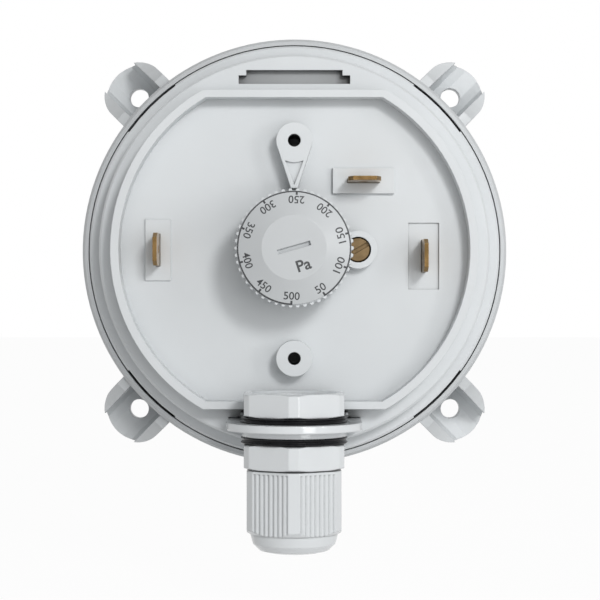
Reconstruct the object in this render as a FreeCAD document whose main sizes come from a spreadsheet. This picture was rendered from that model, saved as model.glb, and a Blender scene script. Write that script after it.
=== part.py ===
import FreeCAD, Part
import math
import os
import re

import Sketcher
from FreeCAD import Placement, Rotation, Units, Vector

# Differential pressure switch with its cover off, wall mounted.
# World frame: X to the right, Z up, the viewer at -Y, the mounting plane at Y = 0.
# Round pieces are drawn in a local frame (x right, y up, z towards the viewer) and turned
# into place. Cable gland pieces are drawn along the gland's own axis.

SIZES = {
    # Base shell
    "base_radius": 42.5,
    "base_foot_chamfer": 1.2,
    "back_wall": 2.4,
    "ring_wall": 1.3,
    "ring_slope": 1.1,
    "ring_inner_radius": "=base_radius - ring_wall",
    "seat_ditch": 4.8,
    "seat_outer_radius": "=ring_inner_radius - seat_ditch",
    "seat_width": 5.4,
    "seat_inner_radius": "=seat_outer_radius - seat_width",
    "bead_inset": 2.9,
    "bead_radius": "=seat_outer_radius - bead_inset",
    "bead_width": 2.5,
    "bead_depth": 1.75,
    "web_level": 7.95,
    "web_thickness": 0.6,
    "web_play": 0.05,
    "ring_rise": 11.65,
    "ring_top": "=web_level + ring_rise",
    # Diaphragm, its plate and the stops under it
    "wave_inset": 4.5,
    "wave_radius": "=seat_inner_radius - wave_inset",
    "wave_width": 3.0,
    "plate_inset": 1.5,
    "plate_radius": "=wave_radius - wave_width - plate_inset",
    "plate_thickness": 1.2,
    "plate_guide_radius": 3.9,
    "plate_guide_height": 2.2,
    "plate_rib_height": 0.8,
    "plate_rib_count": 6,
    "push_pin_radius": 1.4,
    "push_pin_offset": 4.0,
    "stop_count": 6,
    "stop_inner_radius": 6.0,
    "stop_inset": 2.0,
    "stop_outer_radius": "=plate_radius - stop_inset",
    "stop_thickness": 1.2,
    # Mounting lugs
    "lug_count": 4,
    "lug_angle": 45,
    "lug_offset": 3.497,
    "lug_reach": "=base_radius + lug_offset",
    "lug_hole_radius": 2.0,
    "lug_radius": 6.5,
    "lug_plate": 3.2,
    "lug_drop": 2.0,
    "lug_top": "=ring_top - lug_drop",
    "lug_tip_height": 8.2,
    "lug_channel_width": 8.4,
    "lug_channel_round": 2.6,
    # Hose nozzles and the second air channel
    "nozzle_inset": 5.0,
    "nozzle_drop": "=seat_inner_radius - nozzle_inset",
    "nozzle_spread": "=nozzle_drop / 2",
    "nozzle_length": 13.0,
    "nozzle_radius": 2.6,
    "nozzle_bore": 1.4,
    "nozzle_barb": 0.45,
    "nozzle_barb_length": 4.5,
    "nozzle_collar_radius": 4.2,
    "nozzle_collar": 1.0,
    "duct_reach": "=(ring_inner_radius + seat_outer_radius) / 2",
    "duct_rise": 0.9,
    "duct_level": "=back_wall + duct_rise",
    "duct_bore": 1.1,
    "duct_width": 5.0,
    "duct_height": 3.6,
    "duct_top": "=back_wall + duct_height",
    "pillar_radius": 2.3,
    "pillar_top": "=web_level + web_play",
    "pillar_seal": 1.2,
    "passage_width": 3.2,
    "passage_height": 5.5,
    "passage_rise": 3.6,
    "passage_level": 2.2,
    # Upper shell
    "shell_gap": 0.2,
    "skirt_lift": 2.8,
    "skirt_bottom": "=pillar_top + pillar_seal + skirt_lift",
    "skirt_wall": 1.6,
    "ledge_rise": 0.4,
    "ledge_level": "=ring_top + ledge_rise",
    "ledge_wall": 1.8,
    "ledge_width": 2.75,
    "step_radius": "=ring_inner_radius - ledge_width",
    "step_wall": 1.65,
    "step_height": 6.0,
    "crown_level": "=ledge_level + step_height",
    "crown_wall": 2.6,
    "edge_round": 0.4,
    "crown_width": 2.85,
    "rim_radius": "=step_radius - crown_width",
    "rim_wall": 1.6,
    "rim_flat": 4.7,
    "rim_chord": "=rim_radius - rim_flat",
    "rim_chord_wall": 1.5,
    "rim_height": 6.0,
    "rim_top": "=crown_level + rim_height",
    "floor_rise": 1.5,
    "floor_level": "=crown_level + floor_rise",
    "floor_wall": 2.0,
    "chamber_inset": 0.5,
    "chamber_radius": "=seat_inner_radius - chamber_inset",
    "chamber_wall": 3.3,
    "clamp_inset": 0.1,
    "clamp_radius": "=seat_outer_radius - clamp_inset",
    "clamp_height": 2.0,
    # Hub tower
    "tower_radius": 8.9,
    "tower_height": 11.0,
    "tower_top": "=floor_level + tower_height",
    "tower_depth": 7.0,
    "tower_bottom": "=floor_level - tower_depth",
    "tower_step": 0.6,
    "tower_foot_radius": "=tower_radius - tower_step",
    "tower_wall": 2.6,
    "bearing_radius": 4.0,
    "bearing_height": 4.0,
    "seat_bore": "=tower_radius - tower_wall",
    "key_height": 0.9,
    "key_reach": "=seat_bore + key_height",
    "key_width": 2.0,
    # Calibration screw beside the tower
    "screw_spacing": 3.5,
    "screw_offset": "=tower_radius + screw_spacing",
    "screw_boss_radius": 3.7,
    "screw_boss_height": 3.0,
    "screw_boss_top": "=floor_level + screw_boss_height",
    "screw_boss_root": 5.5,
    "screw_boss_foot": "=floor_level - screw_boss_root",
    "screw_head_radius": 2.45,
    "screw_recess": 0.5,
    "screw_head_top": "=screw_boss_top - screw_recess",
    "screw_head": 2.0,
    "screw_shaft": 1.5,
    "screw_tip": 2.5,
    "screw_end": "=screw_boss_foot - screw_tip",
    "screw_slot": 0.8,
    "screw_slot_angle": 30.0,
    # Knob
    "knob_play": 0.53,
    "knob_wall": 1.35,
    "knob_tooth": 0.42,
    "knob_tooth_width": 0.8,
    "knob_teeth": 50,
    "knob_radius": "=tower_radius + knob_play + knob_wall + knob_tooth",
    "knob_lift": 0.5,
    "knob_bottom": "=screw_boss_top + knob_lift",
    "knob_collar": 3.1,
    "knob_edge": "=tower_top + knob_collar",
    "knob_bevel": 0.64,
    "knob_bevel_height": 0.7,
    "knob_rim_radius": "=knob_radius - knob_bevel",
    "knob_cone_low": "=knob_edge + knob_bevel_height",
    "knob_cone_width": 4.49,
    "knob_cone_height": 2.0,
    "knob_disc_radius": "=knob_rim_radius - knob_cone_width",
    "knob_top": "=knob_cone_low + knob_cone_height",
    "knob_face_gap": 0.5,
    "knob_face": "=tower_top + knob_face_gap",
    "knob_slot_length": 6.4,
    "knob_slot_width": 0.87,
    "knob_slot_depth": 0.9,
    "knob_slot_angle": 16.0,
    "running_gap": 0.05,
    "fit_gap": 0.02,
    "thread_gap": 0.1,
    "stem_radius": 3.0,
    "stem_lift": 0.3,
    "stem_bottom": "=tower_bottom + stem_lift",
    "clip_drop": 1.0,
    "clip_level": "=tower_top - bearing_height - clip_drop",
    "clip_thickness": 0.6,
    "clip_play": 0.9,
    "clip_radius": "=seat_bore - clip_play",
    "clip_groove": 0.55,
    # Spring seat and spring
    "seat_lift": 3.5,
    "seat_level": "=tower_bottom + seat_lift",
    "seat_thickness": 3.5,
    "seat_spigot": 1.5,
    "spring_radius": 4.6,
    "spring_wire": 0.35,
    "spring_turns": 7,
    # Screw bosses, pointer, terminal pads and the top slot
    "boss_inset": 9.8,
    "boss_offset": "=rim_chord - boss_inset",
    "boss_radius": 3.5,
    "boss_bore": 1.25,
    "boss_root": 6.5,
    "boss_foot": "=floor_level - boss_root",
    "boss_bore_depth": 9.5,
    "pointer_gap": 0.67,
    "pointer_tip": "=knob_radius + pointer_gap",
    "pointer_tip_width": 1.3,
    "pointer_recess": 0.5,
    "pointer_wall": 0.6,
    "pointer_land": 0.8,
    "pointer_arc": "=boss_radius + pointer_land",
    "pad_long": 12.0,
    "pad_short": 5.0,
    "open_pad_height": 1.0,
    "common_pad_height": 0.4,
    "closed_pocket_width": 6.0,
    "closed_pocket_height": 13.0,
    "closed_pocket_depth": 0.5,
    "slot_margin": 1.8,
    "slot_level": "=rim_chord + slot_margin",
    "slot_step": 1.65,
    "slot_depth": 1.9,
    "slot_half_wide": 10.96,
    "slot_half_narrow": 9.45,
    "slot_narrow_height": 1.05,
    "snap_gap": 0.3,
    "snap_angle": 18.5,
    "snap_depth": 3.0,
    # Contact lever and terminals
    "blade_width": 6.3,
    "blade_thickness": 0.8,
    "blade_reach": 8.4,
    "blade_tip_chamfer": 1.3,
    "blade_hole": 0.85,
    "blade_hole_drop": 4.0,
    "common_inset": 8.95,
    "common_offset": "=rim_radius - common_inset",
    "closed_inset": 10.3,
    "closed_offset": "=rim_radius - closed_inset",
    "closed_drop": 1.2,
    "contact_inset": 11.3,
    "contact_offset": "=closed_offset - contact_inset",
    "contact_radius": 1.5,
    "contact_head": 0.6,
    "contact_shank": 0.9,
    "contact_air": 0.05,
    "lever_line": 12.4,
    "lever_pivot_inset": 8.65,
    "lever_pivot": "=common_offset - lever_pivot_inset",
    "lever_rise": 6.65,
    "lever_level": "=web_level + lever_rise",
    "lever_width": 4.6,
    "lever_leaf": 0.6,
    "lever_barrel": 1.6,
    "lever_end": 2.0,
    "lever_tip": "=contact_offset + lever_end",
    "lever_lip": 1.1,
    "lever_rest": 0.25,
    "pin_radius": 0.75,
    "pin_overhang": 0.6,
    "ear_gap": 0.3,
    "ear_half_width": 1.6,
    "ear_drop": 1.7,
    "ear_height": 2.4,
    "common_foot": "=lever_level + ear_height",
    "closed_depth": 3.0,
    "closed_foot": "=lever_level - closed_depth",
    "open_air": 2.9,
    "open_stop": "=lever_level + open_air",
    "open_shift": 0.5,
    "open_offset": "=contact_offset - open_shift",
    "open_rise": 1.1,
    "open_line": "=lever_line + open_rise",
    # Cable gland: sizes along its axis, from the outer face of the rim's lower flat outwards
    "thread_radius": 7.8,
    "thread_recess": 0.43,
    "thread_reach": 6.77,
    "hex_sides": 6,
    "hex_wall": 1.625,
    "hex_flats": "=(thread_radius + hex_wall) * 2",
    "hex_facet": 1.95,
    "hex_length": 4.63,
    "chamfer_start": 0.15,
    "chamfer_width": 2.46,
    "chamfer_height": 0.81,
    "chamfer_margin": 0.2,
    "nut_clearance": 0.35,
    "nut_gap": 0.2,
    "nut_overhang": 0.85,
    "nut_length": 4.45,
    "inner_seal": 1.16,
    "outer_seal": 1.37,
    "seal_flange": 0.725,
    "seal_radius": "=hex_flats / 2 + seal_flange",
    "seal_groove": 0.35,
    "collar_thickness": 1.45,
    "collar_flange": 2.75,
    "collar_radius": "=seal_radius + collar_flange",
    "collar_ring": 1.16,
    "collar_ring_inset": 0.2,
    "collar_ring_radius": "=seal_radius - collar_ring_inset",
    "collar_tongue": 1.4,
    "collar_slot_gap": 0.08,
    "guide_play": 0.505,
    "guide_inside": "=hex_flats / 2 + guide_play",
    "guide_width": 0.54,
    "guide_start": 0.7,
    "guide_length": 0.6,
    "guide_height": 4.0,
    "guide_top": "=crown_level + guide_height",
    "relief_radius": 0.28,
    "relief_margin": 0.7,
    "relief_offset": "=seal_radius + relief_margin",
    "gland_wall": 2.7,
    "gland_bore": "=thread_radius - gland_wall",
    "cage_wall": 1.2,
    "cage_bore": "=thread_radius - cage_wall",
    "cage_seat_depth": 0.44,
    "cage_lift": 0.49,
    "cage_reach": 0.78,
    "cage_tip": 5.36,
    "cage_taper": 1.0,
    "cage_tip_radius": "=cage_bore - cage_taper",
    "cage_slots": 8,
    "cage_slot_width": 0.7,
    "claw_thickness": 1.6,
    "bush_radius": "=cage_bore - claw_thickness",
    "bush_wall": 1.4,
    "bush_bore": "=bush_radius - bush_wall",
    "bush_recess": 0.98,
    "dome_gap": 0.29,
    "dome_hex_length": 11.94,
    "dome_cap_length": 3.75,
    "dome_inset": 0.53,
    "dome_flats": "=hex_flats - dome_inset * 2",
    "dome_facet": 2.15,
    "dome_cap_inset": 0.585,
    "dome_radius": "=dome_flats / 2 - dome_cap_inset",
    "dome_round": 3.3,
    "dome_mouth_inset": 0.2,
    "dome_mouth": "=bush_radius - dome_mouth_inset",
    "dome_neck_gap": 0.55,
    "dome_neck": "=cage_tip_radius + dome_neck_gap",
    "dome_neck_length": 6.03,
    "flute_count": 8,
    "flute_pitch": 0.994,
    "flute_depth": 0.31,
    # Levels of the gland, which follow from the sizes above
    "hex_reach": "=hex_flats / 2 / cos(30) - hex_facet / 2 * tan(30)",
    "gland_depth": "=floor_level + nut_clearance + hex_reach",
    "nut_bottom": "=rim_chord + nut_overhang",
    "nut_top": "=nut_bottom - nut_length",
    "inner_seal_bottom": "=nut_bottom + inner_seal",
    "collar_bottom": "=inner_seal_bottom + collar_thickness",
    "collar_ring_bottom": "=collar_bottom + collar_ring",
    "outer_seal_bottom": "=collar_ring_bottom + outer_seal",
    "hex_bottom": "=outer_seal_bottom + hex_length",
    "dome_top": "=hex_bottom + dome_gap",
    "dome_hex_bottom": "=dome_top + dome_hex_length",
    "dome_bottom": "=dome_hex_bottom + dome_cap_length",
    "thread_top": "=nut_top + thread_recess",
    "thread_bottom": "=hex_bottom + thread_reach",
    "cage_seat": "=hex_bottom + cage_seat_depth",
    "cage_top": "=cage_seat + cage_lift",
    "cage_straight": "=thread_bottom + cage_reach",
    "cage_bottom": "=cage_straight + cage_tip",
    "bush_bottom": "=cage_bottom - bush_recess",
    "dome_shoulder": "=cage_straight + dome_neck_length",
}

document = FreeCAD.newDocument("pressure_switch")
sheet = document.addObject("Spreadsheet::Sheet", "Sizes")
for row, (alias, number) in enumerate(SIZES.items(), start=1):
    sheet.set(f"A{row}", alias)
    sheet.set(f"B{row}", str(number))
    sheet.setAlias(f"B{row}", alias)
document.recompute()

FACING_VIEWER = Rotation(Vector(1, 0, 0), 90)
POINTING_DOWN = Rotation(Vector(1, 0, 0), 180)
WORD = re.compile(r"[a-z]\w*")


def formula(text):
    """Write a formula of size names as the document's expressions spell it."""
    return WORD.sub(lambda word: "Sizes." + word.group(), str(text))


def value(text):
    """The number that a formula of size names gives."""
    plain = WORD.sub(lambda word: f"({sheet.get(word.group())})", str(text))
    return float(Units.Quantity(plain).Value)


def turned(angle, radius):
    """Formulas for the point at an angle in degrees on a circle about the axis."""
    return (f"({radius}) * {math.cos(math.radians(angle)):.9f}",
            f"({radius}) * {math.sin(math.radians(angle)):.9f}")


def moved_along(angle, radial, across):
    """Formulas for a point given along and across a direction in the plane."""
    cosine = math.cos(math.radians(angle))
    sine = math.sin(math.radians(angle))
    return (f"({radial}) * {cosine:.9f} - ({across}) * {sine:.9f}",
            f"({radial}) * {sine:.9f} + ({across}) * {cosine:.9f}")


def new_body(name, rotation=FACING_VIEWER):
    """A body drawn about the switch's own axis, or about the gland's axis."""
    body = document.addObject("PartDesign::Body", name)
    body.Label = name
    body.Placement = Placement(Vector(0, 0, 0), rotation)
    if rotation is POINTING_DOWN:
        body.setExpression("Placement.Base.y", formula("-gland_depth"))
    return body


def new_sketch(body, name, plane="XY_Plane", level="0", turn=0):
    """A sketch on one of the body's origin planes, raised to a level."""
    sketch = body.newObject("Sketcher::SketchObject", name)
    origin = next(item for item in body.Origin.OriginFeatures if item.Role == plane)
    sketch.AttachmentSupport = [(origin, "")]
    sketch.MapMode = "FlatFace"
    spin = Rotation(Vector(0, 1, 0), turn)
    sketch.AttachmentOffset = Placement(spin.multVec(Vector(0, 0, value(level))), spin)
    if level != "0":
        ahead, aside = turned(turn, level)
        sketch.setExpression("AttachmentOffset.Base.z", formula(ahead))
        sketch.setExpression("AttachmentOffset.Base.x", formula(aside))
    return sketch


def place_point(sketch, index, position, corner):
    """Tie one point of a sketch to its formulas."""
    for kind, text, axis in (("DistanceX", corner[0], -2), ("DistanceY", corner[1], -1)):
        number = value(text)
        if abs(number) < 1e-9:
            sketch.addConstraint(Sketcher.Constraint("PointOnObject", index, position, axis))
        else:
            tie = sketch.addConstraint(Sketcher.Constraint(kind, -1, 1, index, position, number))
            sketch.setExpression(f"Constraints[{tie}]", formula(text))


def add_polygon(sketch, corners):
    """A closed outline through corners, each corner tied to its formulas."""
    points = [Vector(value(x), value(y), 0) for x, y in corners]
    first = sketch.GeometryCount
    count = len(points)
    for index in range(count):
        sketch.addGeometry(Part.LineSegment(points[index], points[(index + 1) % count]), False)
    for index in range(count):
        after = first + (index + 1) % count
        sketch.addConstraint(Sketcher.Constraint("Coincident", first + index, 2, after, 1))
    for index, corner in enumerate(corners):
        place_point(sketch, first + index, 1, corner)


def add_circle(sketch, centre, radius):
    """A circle with its centre and radius tied to formulas."""
    middle = Vector(value(centre[0]), value(centre[1]), 0)
    index = sketch.addGeometry(Part.Circle(middle, Vector(0, 0, 1), value(radius)), False)
    place_point(sketch, index, 3, centre)
    tie = sketch.addConstraint(Sketcher.Constraint("Radius", index, value(radius)))
    sketch.setExpression(f"Constraints[{tie}]", formula(radius))


def add_chorded_disc(sketch, radius, chord):
    """A circle cut off flat above and below."""
    reach = value(radius)
    half = value(chord)
    lean = math.asin(half / reach)
    arcs = []
    for start, end in ((-lean, lean), (math.pi - lean, math.pi + lean)):
        circle = Part.Circle(Vector(0, 0, 0), Vector(0, 0, 1), reach)
        arcs.append(sketch.addGeometry(Part.ArcOfCircle(circle, start, end), False))
    corners = [Vector(math.cos(lean) * reach, half, 0), Vector(-math.cos(lean) * reach, half, 0)]
    top = sketch.addGeometry(Part.LineSegment(corners[0], corners[1]), False)
    bottom = sketch.addGeometry(Part.LineSegment(-corners[0], -corners[1]), False)
    for arc in arcs:
        sketch.addConstraint(Sketcher.Constraint("Coincident", arc, 3, -1, 1))
        tie = sketch.addConstraint(Sketcher.Constraint("Radius", arc, reach))
        sketch.setExpression(f"Constraints[{tie}]", formula(radius))
    sketch.addConstraint(Sketcher.Constraint("Coincident", arcs[0], 2, top, 1))
    sketch.addConstraint(Sketcher.Constraint("Coincident", top, 2, arcs[1], 1))
    sketch.addConstraint(Sketcher.Constraint("Coincident", arcs[1], 2, bottom, 1))
    sketch.addConstraint(Sketcher.Constraint("Coincident", bottom, 2, arcs[0], 1))
    for line, text in ((top, chord), (bottom, f"-({chord})")):
        sketch.addConstraint(Sketcher.Constraint("Horizontal", line))
        tie = sketch.addConstraint(Sketcher.Constraint("DistanceY", -1, 1, line, 1, value(text)))
        sketch.setExpression(f"Constraints[{tie}]", formula(text))


def polygon(body, name, corners, plane="XY_Plane", level="0", turn=0):
    sketch = new_sketch(body, name, plane, level, turn)
    add_polygon(sketch, corners)
    return sketch


def circles(body, name, rounds, plane="XY_Plane", level="0", turn=0):
    sketch = new_sketch(body, name, plane, level, turn)
    for across, up, radius in rounds:
        add_circle(sketch, (across, up), radius)
    return sketch


def box_corners(left, right, low, high):
    return [(left, low), (right, low), (right, high), (left, high)]


def feature(body, kind, name, sketch, length=None, **options):
    """A pad, pocket, revolution or groove made from a sketch of its own body."""
    made = body.newObject("PartDesign::" + kind, name)
    made.Profile = sketch
    if length is not None:
        made.setExpression("Length", formula(length))
    for option, setting in options.items():
        setattr(made, option, setting)
    return made


def pad(body, name, sketch, length, **options):
    return feature(body, "Pad", name, sketch, length, **options)


def pocket(body, name, sketch, length, **options):
    return feature(body, "Pocket", name, sketch, length, **options)


def revolve(body, name, sketch, kind="Revolution"):
    """Turn a half section about the body's own z axis."""
    made = feature(body, kind, name, sketch)
    made.ReferenceAxis = (sketch, ["V_Axis"])
    made.Angle = 360
    return made


def around(body, name, features, count):
    """Repeat features about the body's z axis."""
    document.recompute()
    axis = next(item for item in body.Origin.OriginFeatures if item.Role == "Z_Axis")
    pattern = body.newObject("PartDesign::PolarPattern", name)
    pattern.Originals = features
    pattern.Axis = (axis, [""])
    pattern.Angle = 360
    pattern.setExpression("Occurrences", formula(count))
    body.Tip = pattern
    document.recompute()
    return pattern


def turned_piece(name, outline, rotation=FACING_VIEWER):
    """A piece that is one half section turned about its axis."""
    body = new_body(name, rotation)
    revolve(body, name + "_turning", polygon(body, name + "_section", outline, "XZ_Plane"))
    return body


def hexagon(flats, facet):
    """The outline of a hexagon with one corner to the viewer and a flat facet on each corner."""
    reach = f"(({flats}) / 2 * {1 / math.cos(math.radians(30)):.9f}" \
            f" - ({facet}) / 2 * {math.tan(math.radians(30)):.9f})"
    corners = []
    sides = int(value("hex_sides"))
    for number in range(sides):
        angle = 90 + 360 / sides * number
        corners.append(moved_along(angle, reach, f"-({facet}) / 2"))
        corners.append(moved_along(angle, reach, f"({facet}) / 2"))
    return corners


def build_base():
    body = new_body("base_housing")
    groove_in = "bead_radius - bead_width / 2"
    groove_out = "bead_radius + bead_width / 2"
    groove_floor = "web_level + web_thickness - bead_depth - web_play"
    clamp_level = "web_level + web_thickness + web_play"
    section = [
        ("0", "0"),
        ("base_radius - base_foot_chamfer", "0"),
        ("base_radius", "base_foot_chamfer"),
        ("base_radius", "ring_top - ring_slope"),
        ("base_radius - (base_radius - ring_inner_radius) * 0.4", "ring_top - ring_slope * 0.2"),
        ("ring_inner_radius", "ring_top"),
        ("ring_inner_radius", "back_wall"),
        ("seat_outer_radius", "back_wall"),
        ("seat_outer_radius", clamp_level),
        (groove_out + " + web_play", clamp_level),
        (groove_out + " + web_play", groove_floor),
        (groove_in + " - web_play", groove_floor),
        (groove_in + " - web_play", "web_level - web_play"),
        ("seat_inner_radius", "web_level - web_play"),
        ("seat_inner_radius", "back_wall"),
        ("0", "back_wall"),
    ]
    revolve(body, "base_dish", polygon(body, "base_section", section, "XZ_Plane"))

    stop = polygon(body, "stop_rib_outline", box_corners(
        "stop_inner_radius", "stop_outer_radius", "-stop_thickness / 2", "stop_thickness / 2"),
        level="back_wall - 0.5")
    stop_rib = pad(body, "stop_rib", stop, "web_level - web_play - back_wall + 0.5")
    around(body, "stop_ribs", [stop_rib], "stop_count")

    add_lugs(body)
    add_nozzles(body)
    return body


def add_lugs(body):
    """Four screw lugs at the corners: a stadium with a sloping top and a rounded channel."""
    hole_reach = "lug_reach"
    root = "ring_inner_radius + 0.6"
    end = f"{hole_reach} + lug_radius"
    side = [
        (root, "0"),
        (end, "0"),
        (end, "lug_tip_height"),
        (f"{hole_reach} + lug_radius * 0.45", "lug_tip_height + (lug_top - lug_tip_height) * 0.36"),
        (f"{hole_reach} + lug_radius * 0.05", "lug_tip_height + (lug_top - lug_tip_height) * 0.72"),
        (f"{hole_reach} - lug_radius * 0.3", "lug_top - 0.3"),
        (root, "lug_top"),
    ]
    first = value("lug_angle")
    slab = pad(body, "lug_slab", polygon(body, "lug_side", side, "XZ_Plane", turn=first),
               "lug_radius * 2", Midplane=True)

    channel = [
        ("-lug_channel_width / 2", "lug_top + 1"),
        ("-lug_channel_width / 2", "lug_plate + lug_channel_round"),
        ("-lug_channel_width / 2 + lug_channel_round * 0.3", "lug_plate + lug_channel_round * 0.3"),
        ("-lug_channel_width / 2 + lug_channel_round", "lug_plate"),
        ("lug_channel_width / 2 - lug_channel_round", "lug_plate"),
        ("lug_channel_width / 2 - lug_channel_round * 0.3", "lug_plate + lug_channel_round * 0.3"),
        ("lug_channel_width / 2", "lug_plate + lug_channel_round"),
        ("lug_channel_width / 2", "lug_top + 1"),
    ]
    cut = polygon(body, "lug_channel_section", channel, "YZ_Plane", "base_radius", turn=first)
    trough = pocket(body, "lug_channel", cut, "base_radius", Reversed=True)

    outside = new_sketch(body, "lug_end_outline")
    add_lug_end(outside, first, hole_reach)
    ending = pocket(body, "lug_end", outside, "lug_top + 1", Reversed=True)

    hole = circles(body, "lug_hole_outline", [(*turned(first, hole_reach), "lug_hole_radius")])
    drilled = pocket(body, "lug_hole", hole, "lug_top", Reversed=True)
    around(body, "lugs", [slab, trough, ending, drilled], "lug_count")


def add_lug_end(sketch, angle, reach):
    """What lies outside the lug's round end, as one closed outline with an arc."""
    radius = value("lug_radius")
    centre = [value(text) for text in turned(angle, reach)]
    heading = math.radians(angle)
    middle = Vector(centre[0], centre[1], 0)
    circle = Part.Circle(middle, Vector(0, 0, 1), radius)
    arc = sketch.addGeometry(
        Part.ArcOfCircle(circle, heading - math.pi / 2, heading + math.pi / 2), False)
    place_point(sketch, arc, 3, turned(angle, reach))
    tie = sketch.addConstraint(Sketcher.Constraint("Radius", arc, radius))
    sketch.setExpression(f"Constraints[{tie}]", formula("lug_radius"))
    corners = [
        moved_along(angle, reach, "lug_radius"),
        moved_along(angle, reach, "lug_radius * 1.5"),
        moved_along(angle, f"{reach} + lug_radius * 1.5", "lug_radius * 1.5"),
        moved_along(angle, f"{reach} + lug_radius * 1.5", "-lug_radius * 1.5"),
        moved_along(angle, reach, "-lug_radius * 1.5"),
        moved_along(angle, reach, "-lug_radius"),
    ]
    points = [Vector(value(x), value(y), 0) for x, y in corners]
    lines = []
    for start, end in zip(points, points[1:]):
        lines.append(sketch.addGeometry(Part.LineSegment(start, end), False))
    for before, after in zip(lines, lines[1:]):
        sketch.addConstraint(Sketcher.Constraint("Coincident", before, 2, after, 1))
    sketch.addConstraint(Sketcher.Constraint("Coincident", arc, 2, lines[0], 1))
    sketch.addConstraint(Sketcher.Constraint("Coincident", lines[-1], 2, arc, 1))
    for line, corner in zip(lines[1:], corners[1:]):
        place_point(sketch, line, 1, corner)
    for line, position, corner in ((lines[0], 1, corners[0]), (lines[-1], 2, corners[-1])):
        across = corner[0]
        tie = sketch.addConstraint(
            Sketcher.Constraint("DistanceX", -1, 1, line, position, value(across)))
        sketch.setExpression(f"Constraints[{tie}]", formula(across))


def nozzle_places():
    return [("pressure", "-nozzle_spread"), ("vacuum", "nozzle_spread")]


def add_nozzles(body):
    """Two hose nozzles behind the mounting plane, and the duct of the second one."""
    for name, across in nozzle_places():
        where = (across, "-nozzle_drop")
        collar = circles(body, name + "_collar_outline", [(*where, "nozzle_collar_radius")])
        pad(body, name + "_collar", collar, "nozzle_collar", Reversed=True)
        tube = circles(body, name + "_tube_outline", [(*where, "nozzle_radius")])
        pad(body, name + "_tube", tube, "nozzle_length", Reversed=True)
        barb = circles(body, name + "_barb_outline", [(*where, "nozzle_radius + nozzle_barb")],
                       level="nozzle_barb_length - nozzle_length")
        pad(body, name + "_barb", barb, "nozzle_barb_length", Reversed=True, TaperAngle=-9)

    reach = "duct_reach"
    lean = math.degrees(math.atan2(-value("nozzle_drop"), value("nozzle_spread")))
    start = f"nozzle_drop * {1 / math.sin(math.radians(-lean)):.9f}"
    block = [moved_along(lean, f"{start} - duct_width / 2", "-duct_width / 2"),
             moved_along(lean, reach, "-duct_width / 2"),
             moved_along(lean, reach, "duct_width / 2"),
             moved_along(lean, f"{start} - duct_width / 2", "duct_width / 2")]
    pad(body, "duct_block", polygon(body, "duct_block_outline", block, level="back_wall - 0.5"),
        "duct_top - back_wall + 0.5")
    pillar = circles(body, "pillar_outline", [(*turned(lean, reach), "pillar_radius")],
                     level="back_wall - 0.5")
    pad(body, "pillar", pillar, "pillar_top - back_wall + 0.5")

    for name, across in nozzle_places():
        bore = circles(body, name + "_bore_outline", [(across, "-nozzle_drop", "nozzle_bore")],
                       level="-nozzle_length - 1")
        end = "duct_level" if name == "vacuum" else "web_level"
        pocket(body, name + "_bore", bore, f"nozzle_length + 1 + {end}", Reversed=True)
    rise = circles(body, "pillar_bore_outline", [(*turned(lean, reach), "duct_bore")],
                   level="pillar_top")
    pocket(body, "pillar_bore", rise, "pillar_top - duct_level")
    run = circles(body, "duct_bore_outline", [("0", "duct_level", "duct_bore")], "YZ_Plane",
                  start, turn=lean)
    pocket(body, "duct_bore", run, f"{reach} - {start}", Reversed=True)


def build_upper():
    body = new_body("upper_housing")
    ceiling = "floor_level - floor_wall"
    section = [
        ("seat_bore", "tower_bottom"),
        ("tower_foot_radius", "tower_bottom"),
        ("tower_foot_radius", ceiling),
        ("chamber_radius", ceiling),
        ("chamber_radius", "web_level + web_thickness + web_play"),
        ("clamp_radius", "web_level + web_thickness + web_play"),
        ("clamp_radius", "web_level + web_thickness + clamp_height"),
        ("chamber_radius + chamber_wall", "web_level + web_thickness + clamp_height + 1.5"),
        ("chamber_radius + chamber_wall", "crown_level - crown_wall"),
        ("step_radius - step_wall", "crown_level - crown_wall"),
        ("step_radius - step_wall", "ledge_level - ledge_wall"),
        ("ring_inner_radius - shell_gap - skirt_wall", "ledge_level - ledge_wall"),
        ("ring_inner_radius - shell_gap - skirt_wall", "skirt_bottom"),
        ("ring_inner_radius - shell_gap", "skirt_bottom"),
        ("ring_inner_radius - shell_gap", "ledge_level - edge_round"),
        ("ring_inner_radius - shell_gap - edge_round", "ledge_level"),
        ("step_radius", "ledge_level"),
        ("step_radius", "crown_level - edge_round"),
        ("step_radius - edge_round", "crown_level"),
        ("seat_bore", "crown_level"),
    ]
    revolve(body, "shell", polygon(body, "shell_section", section, "XZ_Plane"))

    rim = new_sketch(body, "rim_outline", level="crown_level")
    add_chorded_disc(rim, "rim_radius", "rim_chord")
    pad(body, "rim", rim, "rim_top - crown_level")
    recess = new_sketch(body, "recess_outline", level="rim_top")
    add_chorded_disc(recess, "rim_radius - rim_wall", "rim_chord - rim_chord_wall")
    pocket(body, "recess", recess, "rim_top - floor_level")

    add_floor_features(body)
    add_gland_bay(body)

    hub = circles(body, "tower_outline", [("0", "0", "tower_radius")], level="floor_level - 0.5")
    pad(body, "tower", hub, "tower_top - floor_level + 0.5")
    bore = [
        ("0", "tower_bottom - 1"),
        ("seat_bore", "tower_bottom - 1"),
        ("seat_bore", "tower_top - bearing_height"),
        ("bearing_radius", "tower_top - bearing_height"),
        ("bearing_radius", "tower_top + 1"),
        ("0", "tower_top + 1"),
    ]
    revolve(body, "tower_bore", polygon(body, "tower_bore_section", bore, "XZ_Plane"), "Groove")
    keys = polygon(body, "key_slot_outline", box_corners(
        "-key_reach - running_gap", "key_reach + running_gap",
        "-key_width / 2 - running_gap", "key_width / 2 + running_gap"), level="tower_bottom")
    pocket(body, "key_slots", keys, "tower_top - bearing_height - tower_bottom", Reversed=True)
    return body


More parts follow.
